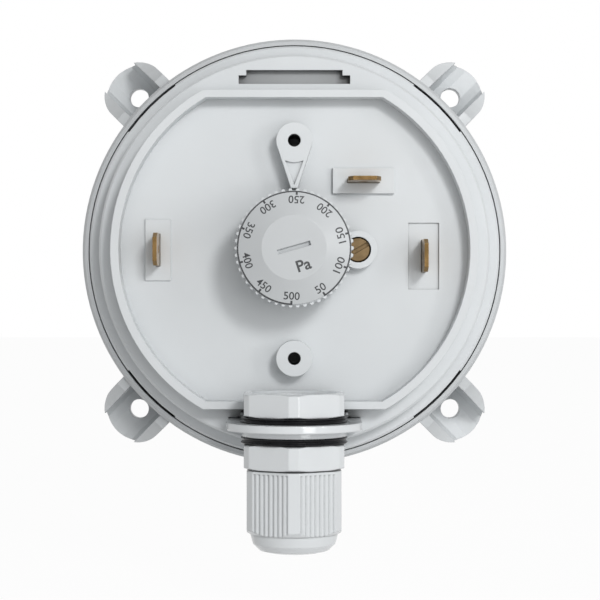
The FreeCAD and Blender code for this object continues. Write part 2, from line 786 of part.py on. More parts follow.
def add_floor_features(body):
    floor = "floor_level"
    bosses = circles(body, "boss_outline", [("0", "boss_offset", "boss_radius"),
                                            ("0", "-boss_offset", "boss_radius")],
                     level="boss_foot")
    pad(body, "bosses", bosses, "rim_top - boss_foot")

    wedge = [("-boss_radius * 0.97", "boss_offset - boss_radius * 0.24"),
             ("-pointer_tip_width / 2", "pointer_tip"),
             ("pointer_tip_width / 2", "pointer_tip"),
             ("boss_radius * 0.97", "boss_offset - boss_radius * 0.24")]
    pad(body, "pointer", polygon(body, "pointer_outline", wedge, level=floor),
        "rim_top - floor_level")
    pit = [("0", "pointer_tip + pointer_wall")]
    for angle in (-66, -78, -90, -102, -114):
        across, up = turned(angle, "pointer_arc")
        pit.append((across, f"boss_offset + {up}"))
    pocket(body, "pointer_pit", polygon(body, "pointer_pit_outline", pit, level="rim_top"),
           "pointer_recess")

    raised = polygon(body, "open_pad_outline", box_corners(
        "open_offset - pad_long / 2", "open_offset + pad_long / 2",
        "open_line - pad_short / 2", "open_line + pad_short / 2"), level=floor)
    pad(body, "open_pad", raised, "open_pad_height")
    left = polygon(body, "common_pad_outline", box_corners(
        "-common_offset - pad_short / 2", "-common_offset + pad_short / 2",
        "-pad_long / 2", "pad_long / 2"), level=floor)
    pad(body, "common_pad", left, "common_pad_height")
    sunk = polygon(body, "closed_pocket_outline", box_corners(
        "closed_offset - closed_pocket_width / 2", "closed_offset + closed_pocket_width / 2",
        "-closed_drop - closed_pocket_height / 2", "-closed_drop + closed_pocket_height / 2"),
        level=floor)
    pocket(body, "closed_pocket", sunk, "closed_pocket_depth")

    ring = circles(body, "screw_boss_outline", [("screw_offset", "0", "screw_boss_radius")],
                   level="screw_boss_foot")
    pad(body, "screw_boss", ring, "screw_boss_top - screw_boss_foot")
    head = circles(body, "screw_seat_outline",
                   [("screw_offset", "0", "screw_head_radius + running_gap")],
                   level="screw_boss_top")
    pocket(body, "screw_seat", head, "screw_boss_top - screw_head_top + screw_head + running_gap")
    shaft = circles(body, "screw_bore_outline",
                    [("screw_offset", "0", "screw_shaft + running_gap")], level="screw_boss_top")
    pocket(body, "screw_bore", shaft, "screw_boss_top - screw_end")

    holes = circles(body, "boss_bore_outline", [("0", "boss_offset", "boss_bore"),
                                                ("0", "-boss_offset", "boss_bore")],
                    level="rim_top")
    pocket(body, "boss_bores", holes, "boss_bore_depth")

    slits = new_sketch(body, "blade_slit_outline", level="rim_top")
    for left, right, low, high in blade_outlines():
        add_polygon(slits, box_corners(f"{left} - running_gap", f"{right} + running_gap",
                                       f"{low} - running_gap", f"{high} + running_gap"))
    pocket(body, "blade_slits", slits, "rim_top - tower_bottom")

    slot = [("-slot_half_wide", "slot_level"),
            ("slot_half_wide", "slot_level"),
            ("slot_half_wide", "slot_level + slot_step"),
            ("slot_half_narrow", "slot_level + slot_step"),
            ("slot_half_narrow", "slot_level + slot_step + slot_narrow_height"),
            ("-slot_half_narrow", "slot_level + slot_step + slot_narrow_height"),
            ("-slot_half_narrow", "slot_level + slot_step"),
            ("-slot_half_wide", "slot_level + slot_step")]
    pocket(body, "top_slot", polygon(body, "top_slot_outline", slot, level="crown_level"),
           "slot_depth")

    outer = "ring_inner_radius - shell_gap"
    snap = new_sketch(body, "snap_slit_outline", level="ledge_level")
    half = value("snap_angle") / 2
    middle = value("lug_angle")
    slit = [turned(middle - half, outer), turned(middle - half, f"{outer} + 1"),
            turned(middle + half, f"{outer} + 1"), turned(middle + half, outer)]
    inner = f"{outer} - snap_gap"
    steps = 4
    inside = [turned(middle + half - half * 2 * number / steps, inner)
              for number in range(steps + 1)]
    add_polygon(snap, slit + inside)
    cut = pocket(body, "snap_slit", snap, "snap_depth")
    around(body, "snap_slits", [cut], "lug_count")


def blade_outlines():
    """The three blades' sections in the floor: left, right, low and high."""
    half_width = "blade_width / 2"
    half = "blade_thickness / 2"
    return [
        (f"-common_offset - {half}", f"-common_offset + {half}", f"-{half_width}", half_width),
        (f"open_offset - {half_width}", f"open_offset + {half_width}",
         f"open_line - {half}", f"open_line + {half}"),
        (f"closed_offset - {half}", f"closed_offset + {half}",
         f"-closed_drop - {half_width}", f"-closed_drop + {half_width}"),
    ]


def add_gland_bay(body):
    """The notch in the rim for the lock nut, and the slot in the crown for the gland's collar."""
    side = "hex_flats / 2 + nut_gap"
    notch = polygon(body, "nut_notch_outline", box_corners(
        f"-({side})", side, "floor_level", "rim_top + 1"), "XZ_Plane",
        "rim_chord - rim_chord_wall - 0.1")
    pocket(body, "nut_notch", notch, "rim_chord_wall + 0.2", Reversed=True)

    reach = "collar_radius + collar_slot_gap"
    slot = polygon(body, "collar_slot_outline", box_corners(
        f"-({reach})", reach, "-collar_bottom - collar_slot_gap",
        "-inner_seal_bottom + collar_slot_gap"), level="crown_level")
    pocket(body, "collar_slot", slot, "collar_tongue + collar_slot_gap")
    relief = circles(body, "slot_relief_outline", [
        ("-relief_offset", "-inner_seal_bottom", "relief_radius"),
        ("relief_offset", "-inner_seal_bottom", "relief_radius")], level="crown_level")
    pocket(body, "slot_relief", relief, "collar_tongue + collar_slot_gap")

    for name, near, far in (("right_guide", "guide_inside", "guide_inside + guide_width"),
                            ("left_guide", "-guide_inside - guide_width", "-guide_inside")):
        rib = polygon(body, name + "_outline", box_corners(
            near, far, "-rim_chord - guide_start - guide_length", "-rim_chord - guide_start"),
            level="crown_level - 0.5")
        pad(body, name, rib, "guide_top - crown_level + 0.5")


def add_arch(sketch, radius, foot):
    """A half circle towards the viewer on two straight legs that end at foot."""
    reach = value(radius)
    low = value(foot)
    circle = Part.Circle(Vector(0, 0, 0), Vector(0, 0, 1), reach)
    arc = sketch.addGeometry(Part.ArcOfCircle(circle, 0, math.pi), False)
    left = sketch.addGeometry(
        Part.LineSegment(Vector(-reach, 0, 0), Vector(-reach, low, 0)), False)
    sill = sketch.addGeometry(
        Part.LineSegment(Vector(-reach, low, 0), Vector(reach, low, 0)), False)
    right = sketch.addGeometry(
        Part.LineSegment(Vector(reach, low, 0), Vector(reach, 0, 0)), False)
    sketch.addConstraint(Sketcher.Constraint("Tangent", arc, 2, left, 1))
    sketch.addConstraint(Sketcher.Constraint("Coincident", left, 2, sill, 1))
    sketch.addConstraint(Sketcher.Constraint("Coincident", sill, 2, right, 1))
    sketch.addConstraint(Sketcher.Constraint("Tangent", right, 2, arc, 1))
    sketch.addConstraint(Sketcher.Constraint("Vertical", left))
    sketch.addConstraint(Sketcher.Constraint("Vertical", right))
    sketch.addConstraint(Sketcher.Constraint("Horizontal", sill))
    sketch.addConstraint(Sketcher.Constraint("Coincident", arc, 3, -1, 1))
    tie = sketch.addConstraint(Sketcher.Constraint("Radius", arc, reach))
    sketch.setExpression(f"Constraints[{tie}]", formula(radius))
    tie = sketch.addConstraint(Sketcher.Constraint("DistanceY", -1, 1, sill, 1, low))
    sketch.setExpression(f"Constraints[{tie}]", formula(foot))


def build_knob():
    body = new_body("adjusting_knob")
    root = "knob_radius - knob_tooth"
    journal = "bearing_radius - running_gap"
    groove = "clip_level + clip_thickness + running_gap"
    section = [
        ("0", "stem_bottom"),
        ("stem_radius - 0.5", "stem_bottom"),
        ("stem_radius", "stem_bottom + 0.5"),
        ("stem_radius", "clip_level - running_gap - 0.8"),
        (journal, "clip_level - running_gap - 0.8"),
        (journal, "clip_level - running_gap"),
        (f"{journal} - clip_groove", "clip_level - running_gap"),
        (f"{journal} - clip_groove", groove),
        (journal, groove),
        (journal, "knob_face"),
        (f"{root} - knob_wall", "knob_face"),
        (f"{root} - knob_wall", "knob_bottom"),
        (root, "knob_bottom"),
        (root, "knob_edge"),
        ("knob_rim_radius", "knob_cone_low"),
        ("knob_disc_radius", "knob_top"),
        ("0", "knob_top"),
    ]
    revolve(body, "knob_turning", polygon(body, "knob_section", section, "XZ_Plane"))
    tip = "knob_tooth_width * 0.28"
    tooth = polygon(body, "tooth_outline", [
        (f"{root} - 0.3", "-knob_tooth_width / 2"), (root, "-knob_tooth_width / 2"),
        ("knob_radius", f"-{tip}"), ("knob_radius", tip),
        (root, "knob_tooth_width / 2"), (f"{root} - 0.3", "knob_tooth_width / 2")],
        level="knob_bottom")
    around(body, "teeth", [pad(body, "tooth", tooth, "knob_edge - knob_bottom")], "knob_teeth")
    angle = value("knob_slot_angle")
    slot = [moved_along(angle, f"{run} * knob_slot_length / 2", f"{side} * knob_slot_width / 2")
            for run, side in ((-1, -1), (1, -1), (1, 1), (-1, 1))]
    pocket(body, "driver_slot", polygon(body, "driver_slot_outline", slot, level="knob_top"),
           "knob_slot_depth")
    return body


def build_knob_clip():
    body = new_body("knob_clip")
    inner = "bearing_radius - running_gap - clip_groove + 0.05"
    ring = circles(body, "clip_outline", [("0", "0", "clip_radius"), ("0", "0", inner)],
                   level="clip_level")
    pad(body, "clip_ring", ring, "clip_thickness")
    gap = polygon(body, "clip_gap_outline", box_corners(
        f"-({inner}) * 0.7", f"({inner}) * 0.7", "-clip_radius - 1", "0"),
        level="clip_level + clip_thickness")
    pocket(body, "clip_gap", gap, "clip_thickness")
    return body


def build_spring_seat():
    body = new_body("spring_seat")
    outer = "seat_bore - running_gap"
    bore = "stem_radius + running_gap"
    guide = "spring_radius - spring_wire - 0.35"
    section = [
        (bore, "seat_level - seat_spigot"),
        (guide, "seat_level - seat_spigot"),
        (guide, "seat_level"),
        (outer, "seat_level"),
        (outer, "seat_level + seat_thickness"),
        (bore, "seat_level + seat_thickness"),
    ]
    revolve(body, "seat_turning", polygon(body, "seat_section", section, "XZ_Plane"))
    for name, near, far in (("right_key", "seat_bore - 1", "key_reach"),
                            ("left_key", "-key_reach", "-(seat_bore - 1)")):
        key = polygon(body, name + "_outline", box_corners(
            near, far, "-key_width / 2", "key_width / 2"), level="seat_level")
        pad(body, name, key, "seat_thickness")
    return body


def build_range_spring():
    """The wire is swept along a helix, whose height is fixed by the two seats."""
    body = new_body("range_spring")
    wire = circles(body, "wire_outline", [("spring_radius", "0", "spring_wire")], "XZ_Plane")
    coil = body.newObject("PartDesign::AdditiveHelix", "coil")
    coil.Profile = wire
    coil.ReferenceAxis = (wire, ["V_Axis"])
    coil.Mode = 2
    coil.setExpression("Height", formula(
        "seat_level - web_level - web_thickness - web_play - plate_thickness"
        " - spring_wire * 2 - running_gap * 2"))
    coil.setExpression("Turns", formula("spring_turns"))
    rise = "web_level + web_thickness + web_play + plate_thickness + spring_wire + running_gap"
    body.setExpression("Placement.Base.y", formula(f"-({rise})"))
    return body


def build_diaphragm():
    under = "web_level"
    over = "web_level + web_thickness"
    outer = "bead_radius + bead_width / 2"
    inner = "bead_radius - bead_width / 2"
    wave_in = "wave_radius - wave_width"
    wave_out = "wave_radius + wave_width"
    lift = "wave_width * 0.75"
    outline = [
        ("0", under),
        (wave_in, under),
        ("wave_radius - wave_width * 0.6", f"{under} + ({lift}) * 0.7"),
        ("wave_radius", f"{under} + {lift}"),
        ("wave_radius + wave_width * 0.6", f"{under} + ({lift}) * 0.7"),
        (wave_out, under),
        (inner, under),
        (inner, f"{over} - bead_depth + 0.3"),
        (f"{inner} + 0.3", f"{over} - bead_depth"),
        (f"{outer} - 0.3", f"{over} - bead_depth"),
        (outer, f"{over} - bead_depth + 0.3"),
        (outer, over),
        (f"{wave_out} + 0.3", over),
        ("wave_radius + wave_width * 0.68", f"{over} + ({lift}) * 0.72"),
        ("wave_radius", f"{over} + {lift}"),
        ("wave_radius - wave_width * 0.68", f"{over} + ({lift}) * 0.72"),
        (f"{wave_in} - 0.3", over),
        ("0", over),
    ]
    return turned_piece("diaphragm", outline)


def build_diaphragm_plate():
    body = new_body("diaphragm_plate")
    low = "web_level + web_thickness + web_play"
    high = f"{low} + plate_thickness"
    section = [
        ("0", low),
        ("plate_radius - 0.4", low),
        ("plate_radius", f"{low} + 0.4"),
        ("plate_radius", f"{high} + plate_rib_height"),
        ("plate_radius - 1", f"{high} + plate_rib_height"),
        ("plate_radius - 1", high),
        ("plate_guide_radius", high),
        ("plate_guide_radius", f"{high} + plate_guide_height - 0.4"),
        ("plate_guide_radius - 0.4", f"{high} + plate_guide_height"),
        ("0", f"{high} + plate_guide_height"),
    ]
    revolve(body, "plate_turning", polygon(body, "plate_section", section, "XZ_Plane"))
    rib = polygon(body, "plate_rib_outline", box_corners(
        "spring_radius + 1.2", "plate_radius - 0.6", "-0.5", "0.5"), level=high)
    around(body, "plate_ribs", [pad(body, "plate_rib", rib, "plate_rib_height")],
           "plate_rib_count")
    pin = circles(body, "push_pin_outline", [("-push_pin_offset", "lever_line", "push_pin_radius")],
                  level=low)
    pad(body, "push_pin", pin, f"lever_level - lever_leaf / 2 - lever_rest - ({low})")
    return body


def build_lever():
    body = new_body("contact_lever")
    low = "lever_line - lever_width / 2"
    high = "lever_line + lever_width / 2"
    leaf = polygon(body, "leaf_outline", box_corners("-lever_pivot", "lever_tip", low, high),
                   level="lever_level - lever_leaf / 2")
    pad(body, "leaf", leaf, "lever_leaf")
    for name, near, far in (("near_lip", low, f"{low} + lever_leaf"),
                            ("far_lip", f"{high} - lever_leaf", high)):
        lip = polygon(body, name + "_outline", box_corners(
            "-lever_pivot + 3", "contact_offset - 5", near, far), level="lever_level")
        pad(body, name, lip, "lever_leaf / 2 + lever_lip")
    barrel = circles(body, "barrel_outline", [("-lever_pivot", "lever_level", "lever_barrel")],
                     "XZ_Plane", f"-({high})")
    pad(body, "barrel", barrel, "lever_width")
    bore = circles(body, "barrel_bore_outline",
                   [("-lever_pivot", "lever_level", "pin_radius + running_gap")],
                   "XZ_Plane", f"-({high})")
    pocket(body, "barrel_bore", bore, "lever_width", Reversed=True)
    hole = circles(body, "leaf_hole_outline",
                   [("contact_offset", "lever_line", "contact_shank + running_gap")],
                   level="lever_level + lever_leaf")
    pocket(body, "leaf_hole", hole, "lever_leaf * 2")
    return body


def build_moving_contact():
    """A rivet through the lever with a head on each side."""
    leaf = "lever_leaf / 2"
    outline = [
        ("0", f"lever_level - {leaf} - contact_head"),
        ("contact_radius - 0.2", f"lever_level - {leaf} - contact_head"),
        ("contact_radius", f"lever_level - {leaf} - contact_head + 0.2"),
        ("contact_radius", f"lever_level - {leaf}"),
        ("contact_shank", f"lever_level - {leaf}"),
        ("contact_shank", f"lever_level + {leaf}"),
        ("contact_radius", f"lever_level + {leaf}"),
        ("contact_radius", f"lever_level + {leaf} + contact_head - 0.2"),
        ("contact_radius - 0.2", f"lever_level + {leaf} + contact_head"),
        ("0", f"lever_level + {leaf} + contact_head"),
    ]
    return placed_at_contact(turned_piece("moving_contact", outline))


def placed_at_contact(body):
    """Shift a turned rivet to the contact point of the lever."""
    body.setExpression("Placement.Base.x", formula("contact_offset"))
    body.setExpression("Placement.Base.z", formula("lever_line"))
    return body


def build_fixed_contact(name, face, plate, far_plate):
    """A rivet in a terminal's foot: its head ends at face, its shank fills the foot."""
    outline = [
        ("0", face),
        ("contact_radius", face),
        ("contact_radius", plate),
        ("contact_shank", plate),
        ("contact_shank", far_plate),
        ("0", far_plate),
    ]
    return placed_at_contact(turned_piece(name, outline))


def build_pivot_pin():
    body = new_body("lever_pivot_pin")
    length = "lever_width + blade_thickness * 2 + pin_overhang * 2"
    pin = circles(body, "pin_outline", [("-lever_pivot", "lever_level", "pin_radius")],
                  "XZ_Plane", f"-(lever_line + ({length}) / 2)")
    pad(body, "pin", pin, length)
    return body


def add_blade(body, plane, centre, level, low, high):
    """A flat blade with chamfered tip corners and a hole, standing on a foot."""
    half = "blade_width / 2"
    corners = [
        (f"{centre} - {half}", low),
        (f"{centre} + {half}", low),
        (f"{centre} + {half}", f"{high} - blade_tip_chamfer * 1.5"),
        (f"{centre} + {half} - blade_tip_chamfer * 0.7", high),
        (f"{centre} - {half} + blade_tip_chamfer * 0.7", high),
        (f"{centre} - {half}", f"{high} - blade_tip_chamfer * 1.5"),
    ]
    outline = polygon(body, "blade_outline", corners, plane, level)
    pad(body, "blade", outline, "blade_thickness", Midplane=True)
    hole = circles(body, "blade_hole_outline",
                   [(centre, f"{high} - blade_hole_drop", "blade_hole")], plane, level)
    pocket(body, "blade_hole", hole, "blade_thickness * 2", Midplane=True)


def build_common_terminal():
    body = new_body("common_terminal")
    top = "floor_level + common_pad_height + blade_reach"
    add_blade(body, "YZ_Plane", "0", "-common_offset", "common_foot", top)
    left = "-common_offset - blade_thickness / 2"
    ear = "lever_line + lever_width / 2 + ear_gap"
    inner = "lever_line - lever_width / 2 - ear_gap"
    foot = [
        (left, "-blade_width / 2"),
        ("-common_offset + blade_width", "-blade_width / 2"),
        ("-lever_pivot + ear_half_width", f"{inner} - 3"),
        ("-lever_pivot + ear_half_width", f"{ear} + blade_thickness"),
        ("-lever_pivot - ear_half_width * 2", f"{ear} + blade_thickness"),
        (left, f"{inner} - 1"),
    ]
    pad(body, "foot", polygon(body, "foot_outline", foot, level="common_foot"), "blade_thickness")
    for name, near in (("upper_ear", ear), ("lower_ear", f"{inner} - blade_thickness")):
        side = polygon(body, name + "_outline", box_corners(
            "-lever_pivot - ear_half_width", "-lever_pivot + ear_half_width",
            "lever_level - ear_drop", "common_foot + blade_thickness / 2"),
            "XZ_Plane", f"-({near} + blade_thickness)")
        pad(body, name, side, "blade_thickness")
    bore = circles(body, "ear_bore_outline",
                   [("-lever_pivot", "lever_level", "pin_radius + fit_gap")],
                   "XZ_Plane", f"-({ear} + blade_thickness + 1)")
    pocket(body, "ear_bore", bore, "lever_width + blade_thickness * 2 + 3", Reversed=True)
    return body


def foot_rivet_hole(body, low):
    hole = circles(body, "rivet_hole_outline",
                   [("contact_offset", "lever_line", "contact_shank + fit_gap")],
                   level=f"{low} + blade_thickness + 1")
    pocket(body, "rivet_hole", hole, "blade_thickness + 2")


def build_open_terminal():
    body = new_body("open_terminal")
    foot_low = "open_stop + contact_head"
    top = "floor_level + open_pad_height + blade_reach"
    add_blade(body, "XZ_Plane", "open_offset", "-open_line", foot_low, top)
    foot = polygon(body, "foot_outline", box_corners(
        "open_offset - blade_width / 2", "open_offset + blade_width / 2",
        "lever_line - contact_radius - 0.3", "open_line + blade_thickness / 2"),
        level=foot_low)
    pad(body, "foot", foot, "blade_thickness")
    foot_rivet_hole(body, foot_low)
    return body


def build_closed_terminal():
    body = new_body("closed_terminal")
    top = "floor_level + blade_reach"
    add_blade(body, "YZ_Plane", "-closed_drop", "closed_offset", "closed_foot", top)
    right = "closed_offset + blade_thickness / 2"
    low = "-closed_drop - blade_width / 2"
    foot = [
        (right, low),
        (right, "lever_line - 2.5"),
        ("closed_offset - 5", "lever_line + 2"),
        ("contact_offset - 2.1", "lever_line + 2"),
        ("contact_offset - 2.1", "lever_line - 2"),
        ("closed_offset - 7", "lever_line - 2"),
        ("closed_offset - 4.7", "lever_line - 6"),
        ("closed_offset - 4.7", low),
    ]
    pad(body, "foot", polygon(body, "foot_outline", foot, level="closed_foot"), "blade_thickness")
    foot_rivet_hole(body, "closed_foot")
    return body


def build_calibration_screw():
    outline = [
        ("0", "screw_end"),
        ("screw_shaft - 0.4", "screw_end"),
        ("screw_shaft", "screw_end + 0.4"),
        ("screw_shaft", "screw_head_top - screw_head"),
        ("screw_head_radius", "screw_head_top - screw_head"),
        ("screw_head_radius", "screw_head_top - 0.25"),
        ("screw_head_radius - 0.25", "screw_head_top"),
        ("0", "screw_head_top"),
    ]
    body = turned_piece("calibration_screw", outline)
    angle = value("screw_slot_angle")
    slot = [moved_along(angle, f"{run} * screw_head_radius * 1.2", f"{side} * screw_slot / 2")
            for run, side in ((-1, -1), (1, -1), (1, 1), (-1, 1))]
    pocket(body, "screw_slot_cut", polygon(body, "screw_slot_outline", slot,
                                           level="screw_head_top"), "screw_slot")
    body.setExpression("Placement.Base.x", formula("screw_offset"))
    return body


def build_transfer_seal():
    body = new_body("p2_seal")
    lean = math.degrees(math.atan2(-value("nozzle_drop"), value("nozzle_spread")))
    spot = turned(lean, "duct_reach")
    ring = circles(body, "seal_outline", [(*spot, "pillar_radius - 0.05"), (*spot, "duct_bore + 0.2")],
                   level="pillar_top")
    pad(body, "seal_ring", ring, "pillar_seal")
    return body


def add_transfer_passage(body):
    """The upper shell's side of the second air channel."""
    lean = math.degrees(math.atan2(-value("nozzle_drop"), value("nozzle_spread")))
    spot = turned(lean, "duct_reach")
    level = "pillar_top + pillar_seal"
    boss = circles(body, "passage_boss_outline", [(*spot, "pillar_radius")], level=level)
    pad(body, "passage_boss", boss, "passage_height")
    web = [moved_along(lean, radial, f"{side} * passage_width / 2") for radial, side in (
        ("clamp_radius - 2", -1), ("duct_reach", -1), ("duct_reach", 1), ("clamp_radius - 2", 1))]
    pad(body, "passage_web", polygon(body, "passage_web_outline", web, level=level),
        "passage_height")
    rise = circles(body, "passage_rise_outline", [(*spot, "duct_bore")], level=level)
    pocket(body, "passage_rise", rise, "passage_rise", Reversed=True)
    run = circles(body, "passage_run_outline", [("0", f"{level} + passage_level", "duct_bore")],
                  "YZ_Plane", "duct_reach", turn=lean)
    pocket(body, "passage_run", run, "duct_reach - chamber_radius + 2")


def gland_ring(name, outline):
    return turned_piece(name, outline, POINTING_DOWN)


def build_locknut():
    body = new_body("gland_locknut", POINTING_DOWN)
    pad(body, "nut_prism", polygon(body, "nut_hexagon", hexagon("hex_flats", "hex_facet"),
                                   level="nut_top"), "nut_bottom - nut_top")
    bore = circles(body, "nut_bore_outline", [("0", "0", "thread_radius + running_gap")],
                   level="nut_bottom")
    pocket(body, "nut_bore", bore, "nut_bottom - nut_top")
    lead = [("thread_radius", "nut_top - 0.1"), ("thread_radius + 0.8", "nut_top - 0.1"),
            ("thread_radius", "nut_top + 0.7")]
    revolve(body, "nut_lead", polygon(body, "nut_lead_section", lead, "XZ_Plane"), "Groove")
    chamfer_ends(body, "hex_flats", "nut_top", "nut_bottom")
    return body


def chamfer_ends(body, flats, top, bottom):
    """Turned chamfers at the two ends of a hexagon."""
    start = f"({flats}) / 2 + chamfer_start"
    outside = f"({flats}) / 2 + chamfer_width"
    for name, level, step in (("top", top, 1), ("bottom", bottom, -1)):
        corner = [
            (start, f"{level} - {step} * chamfer_margin"),
            (outside, f"{level} - {step} * chamfer_margin"),
            (outside, f"{level} + {step} * chamfer_height"),
            (start, level),
        ]
        cut = polygon(body, f"{name}_chamfer_section", corner, "XZ_Plane")
        revolve(body, f"{name}_chamfer", cut, "Groove")


def build_seal(name, top, bottom):
    """A flat rubber ring with a groove round its rim."""
    bore = "thread_radius + thread_gap"
    middle = f"(({top}) + ({bottom})) / 2"
    outline = [
        (bore, top),
        ("seal_radius - 0.25", top),
        ("seal_radius", f"{top} + 0.25"),
        ("seal_radius - seal_groove", middle),
        ("seal_radius", f"{bottom} - 0.25"),
        ("seal_radius - 0.25", bottom),
        (bore, bottom),
    ]
    return gland_ring(name, outline)


def build_collar():
    """An arched plate whose legs stand in the crown's slot, with a ring on its outer side."""
    body = new_body("gland_collar", POINTING_DOWN)
    bore = "thread_radius + thread_gap"
    foot = "crown_level - collar_tongue - gland_depth"
    plate = new_sketch(body, "collar_plate_outline", level="inner_seal_bottom")
    add_arch(plate, "collar_radius", foot)
    add_circle(plate, ("0", "0"), bore)
    pad(body, "collar_plate", plate, "collar_thickness")
    ring = circles(body, "collar_ring_outline", [("0", "0", "collar_ring_radius"),
                                                 ("0", "0", bore)], level="collar_bottom")
    pad(body, "collar_ring", ring, "collar_ring")
    return body


def build_gland_body():
    body = new_body("gland_body", POINTING_DOWN)
    section = [
        ("gland_bore", "thread_top"),
        ("thread_radius - 0.5", "thread_top"),
        ("thread_radius", "thread_top + 0.5"),
        ("thread_radius", "thread_bottom - 0.5"),
        ("thread_radius - 0.5", "thread_bottom"),
        ("cage_bore", "thread_bottom"),
        ("cage_bore", "cage_seat"),
        ("gland_bore", "cage_seat"),
    ]
    revolve(body, "gland_tube", polygon(body, "gland_tube_section", section, "XZ_Plane"))
    prism = new_sketch(body, "gland_hexagon", level="outer_seal_bottom")
    add_polygon(prism, hexagon("hex_flats", "hex_facet"))
    add_circle(prism, ("0", "0"), "thread_radius - 0.4")
    pad(body, "gland_hex", prism, "hex_bottom - outer_seal_bottom")
    chamfer_ends(body, "hex_flats", "outer_seal_bottom", "hex_bottom")
    return body


def build_clamp_insert():
    body = new_body("gland_clamp_insert", POINTING_DOWN)
    outer = "cage_bore - running_gap"
    inner = "bush_radius + running_gap"
    section = [
        (inner, "cage_top"),
        (outer, "cage_top"),
        (outer, "cage_straight"),
        ("cage_tip_radius", "cage_bottom"),
        (inner, "cage_bottom"),
    ]
    revolve(body, "cage", polygon(body, "cage_section", section, "XZ_Plane"))
    slot = polygon(body, "cage_slot_outline", box_corners(
        "0", "cage_bore + 1", "-cage_slot_width / 2", "cage_slot_width / 2"), level="cage_bottom")
    cut = pocket(body, "cage_slot", slot, "cage_bottom - thread_bottom")
    around(body, "cage_slots", [cut], "cage_slots")
    return body


def build_seal_bush():
    outline = [
        ("bush_bore", "cage_top"),
        ("bush_radius", "cage_top"),
        ("bush_radius", "bush_bottom"),
        ("bush_bore + 0.6", "bush_bottom"),
        ("bush_bore", "bush_bottom - 0.6"),
    ]
    return gland_ring("gland_seal_bush", outline)


def build_dome_nut():
    body = new_body("gland_dome_nut", POINTING_DOWN)
    pad(body, "dome_prism", polygon(body, "dome_hexagon", hexagon("dome_flats", "dome_facet"),
                                    level="dome_top"), "dome_hex_bottom - dome_top")
    cap = [
        ("0", "dome_hex_bottom - 1"),
        ("dome_radius", "dome_hex_bottom - 1"),
        ("dome_radius", "dome_bottom - dome_round"),
        ("dome_radius - dome_round * 0.134", "dome_bottom - dome_round * 0.5"),
        ("dome_radius - dome_round * 0.5", "dome_bottom - dome_round * 0.134"),
        ("dome_radius - dome_round", "dome_bottom"),
        ("0", "dome_bottom"),
    ]
    revolve(body, "dome_cap", polygon(body, "dome_cap_section", cap, "XZ_Plane"))
    add_flutes(body)
    lower = [
        ("dome_flats / 2", "dome_hex_bottom + 0.1"),
        ("dome_flats / 2 + 3", "dome_hex_bottom + 0.1"),
        ("dome_flats / 2 + 3", "dome_hex_bottom - 3"),
        ("dome_flats / 2", "dome_hex_bottom"),
    ]
    revolve(body, "dome_bevel", polygon(body, "dome_bevel_section", lower, "XZ_Plane"), "Groove")
    cavity = [
        ("0", "dome_top - 1"),
        ("thread_radius + running_gap", "dome_top - 1"),
        ("thread_radius + running_gap", "cage_straight"),
        ("cage_bore + 0.35", "cage_straight + 0.4"),
        ("dome_neck", "dome_shoulder"),
        ("dome_mouth", "dome_shoulder + 0.4"),
        ("dome_mouth", "dome_bottom - 0.6"),
        ("dome_mouth + 0.6", "dome_bottom"),
        ("0", "dome_bottom"),
    ]
    revolve(body, "dome_cavity", polygon(body, "dome_cavity_section", cavity, "XZ_Plane"),
            "Groove")
    return body


def add_flutes(body):
    """Fine grip grooves down each of the six faces."""
    face = "dome_flats / 2"
    count = int(value("flute_count"))
    sketch = new_sketch(body, "flute_outlines", level="dome_hex_bottom")
    for number in range(count):
        middle = f"({number} - (flute_count - 1) / 2) * flute_pitch"
        add_polygon(sketch, [
            (f"{face} - flute_depth", middle),
            (f"{face} + 0.1", f"{middle} + flute_pitch * 0.42"),
            (f"{face} + 0.1", f"{middle} - flute_pitch * 0.42")])
    cut = pocket(body, "flutes", sketch, "dome_hex_bottom - dome_top - 0.5")
    around(body, "flutes_all_round", [cut], "hex_sides")


PIECES = []
PIECES.append(build_base())
upper = build_upper()
add_transfer_passage(upper)
PIECES.append(upper)
PIECES.append(build_knob())
PIECES.append(build_knob_clip())
PIECES.append(build_spring_seat())
PIECES.append(build_range_spring())
PIECES.append(build_diaphragm())
PIECES.append(build_diaphragm_plate())
PIECES.append(build_lever())
PIECES.append(build_moving_contact())
PIECES.append(build_pivot_pin())
PIECES.append(build_common_terminal())
PIECES.append(build_open_terminal())
PIECES.append(build_closed_terminal())
PIECES.append(build_fixed_contact(
    "open_contact", "open_stop", "open_stop + contact_head",
    "open_stop + contact_head + blade_thickness"))
PIECES.append(build_fixed_contact(
    "closed_contact", "lever_level - lever_leaf / 2 - contact_head - contact_air",
    "closed_foot + blade_thickness", "closed_foot"))
PIECES.append(build_calibration_screw())
PIECES.append(build_transfer_seal())
PIECES.append(build_locknut())
PIECES.append(build_seal("gland_inner_seal", "nut_bottom", "inner_seal_bottom"))
PIECES.append(build_collar())
PIECES.append(build_seal("gland_outer_seal", "collar_ring_bottom", "outer_seal_bottom"))
PIECES.append(build_gland_body())
PIECES.append(build_clamp_insert())
PIECES.append(build_seal_bush())
PIECES.append(build_dome_nut())

document.recompute()
for item in document.Objects:
    if "Invalid" in item.State or "Error" in item.State:
        raise RuntimeError(f"{item.Label} failed: {item.State}")

os.makedirs("parts", exist_ok=True)
for piece in PIECES:
    shape = piece.Shape
    if shape.isNull() or not shape.isValid():
        raise RuntimeError(f"{piece.Label} has no valid shape")
    shape.exportStep(os.path.join("parts", piece.Label + ".step"))
    print(piece.Label, len(shape.Solids), round(shape.Volume, 2))
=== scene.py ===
import math

import bmesh
import bpy
from mathutils import Matrix, Vector


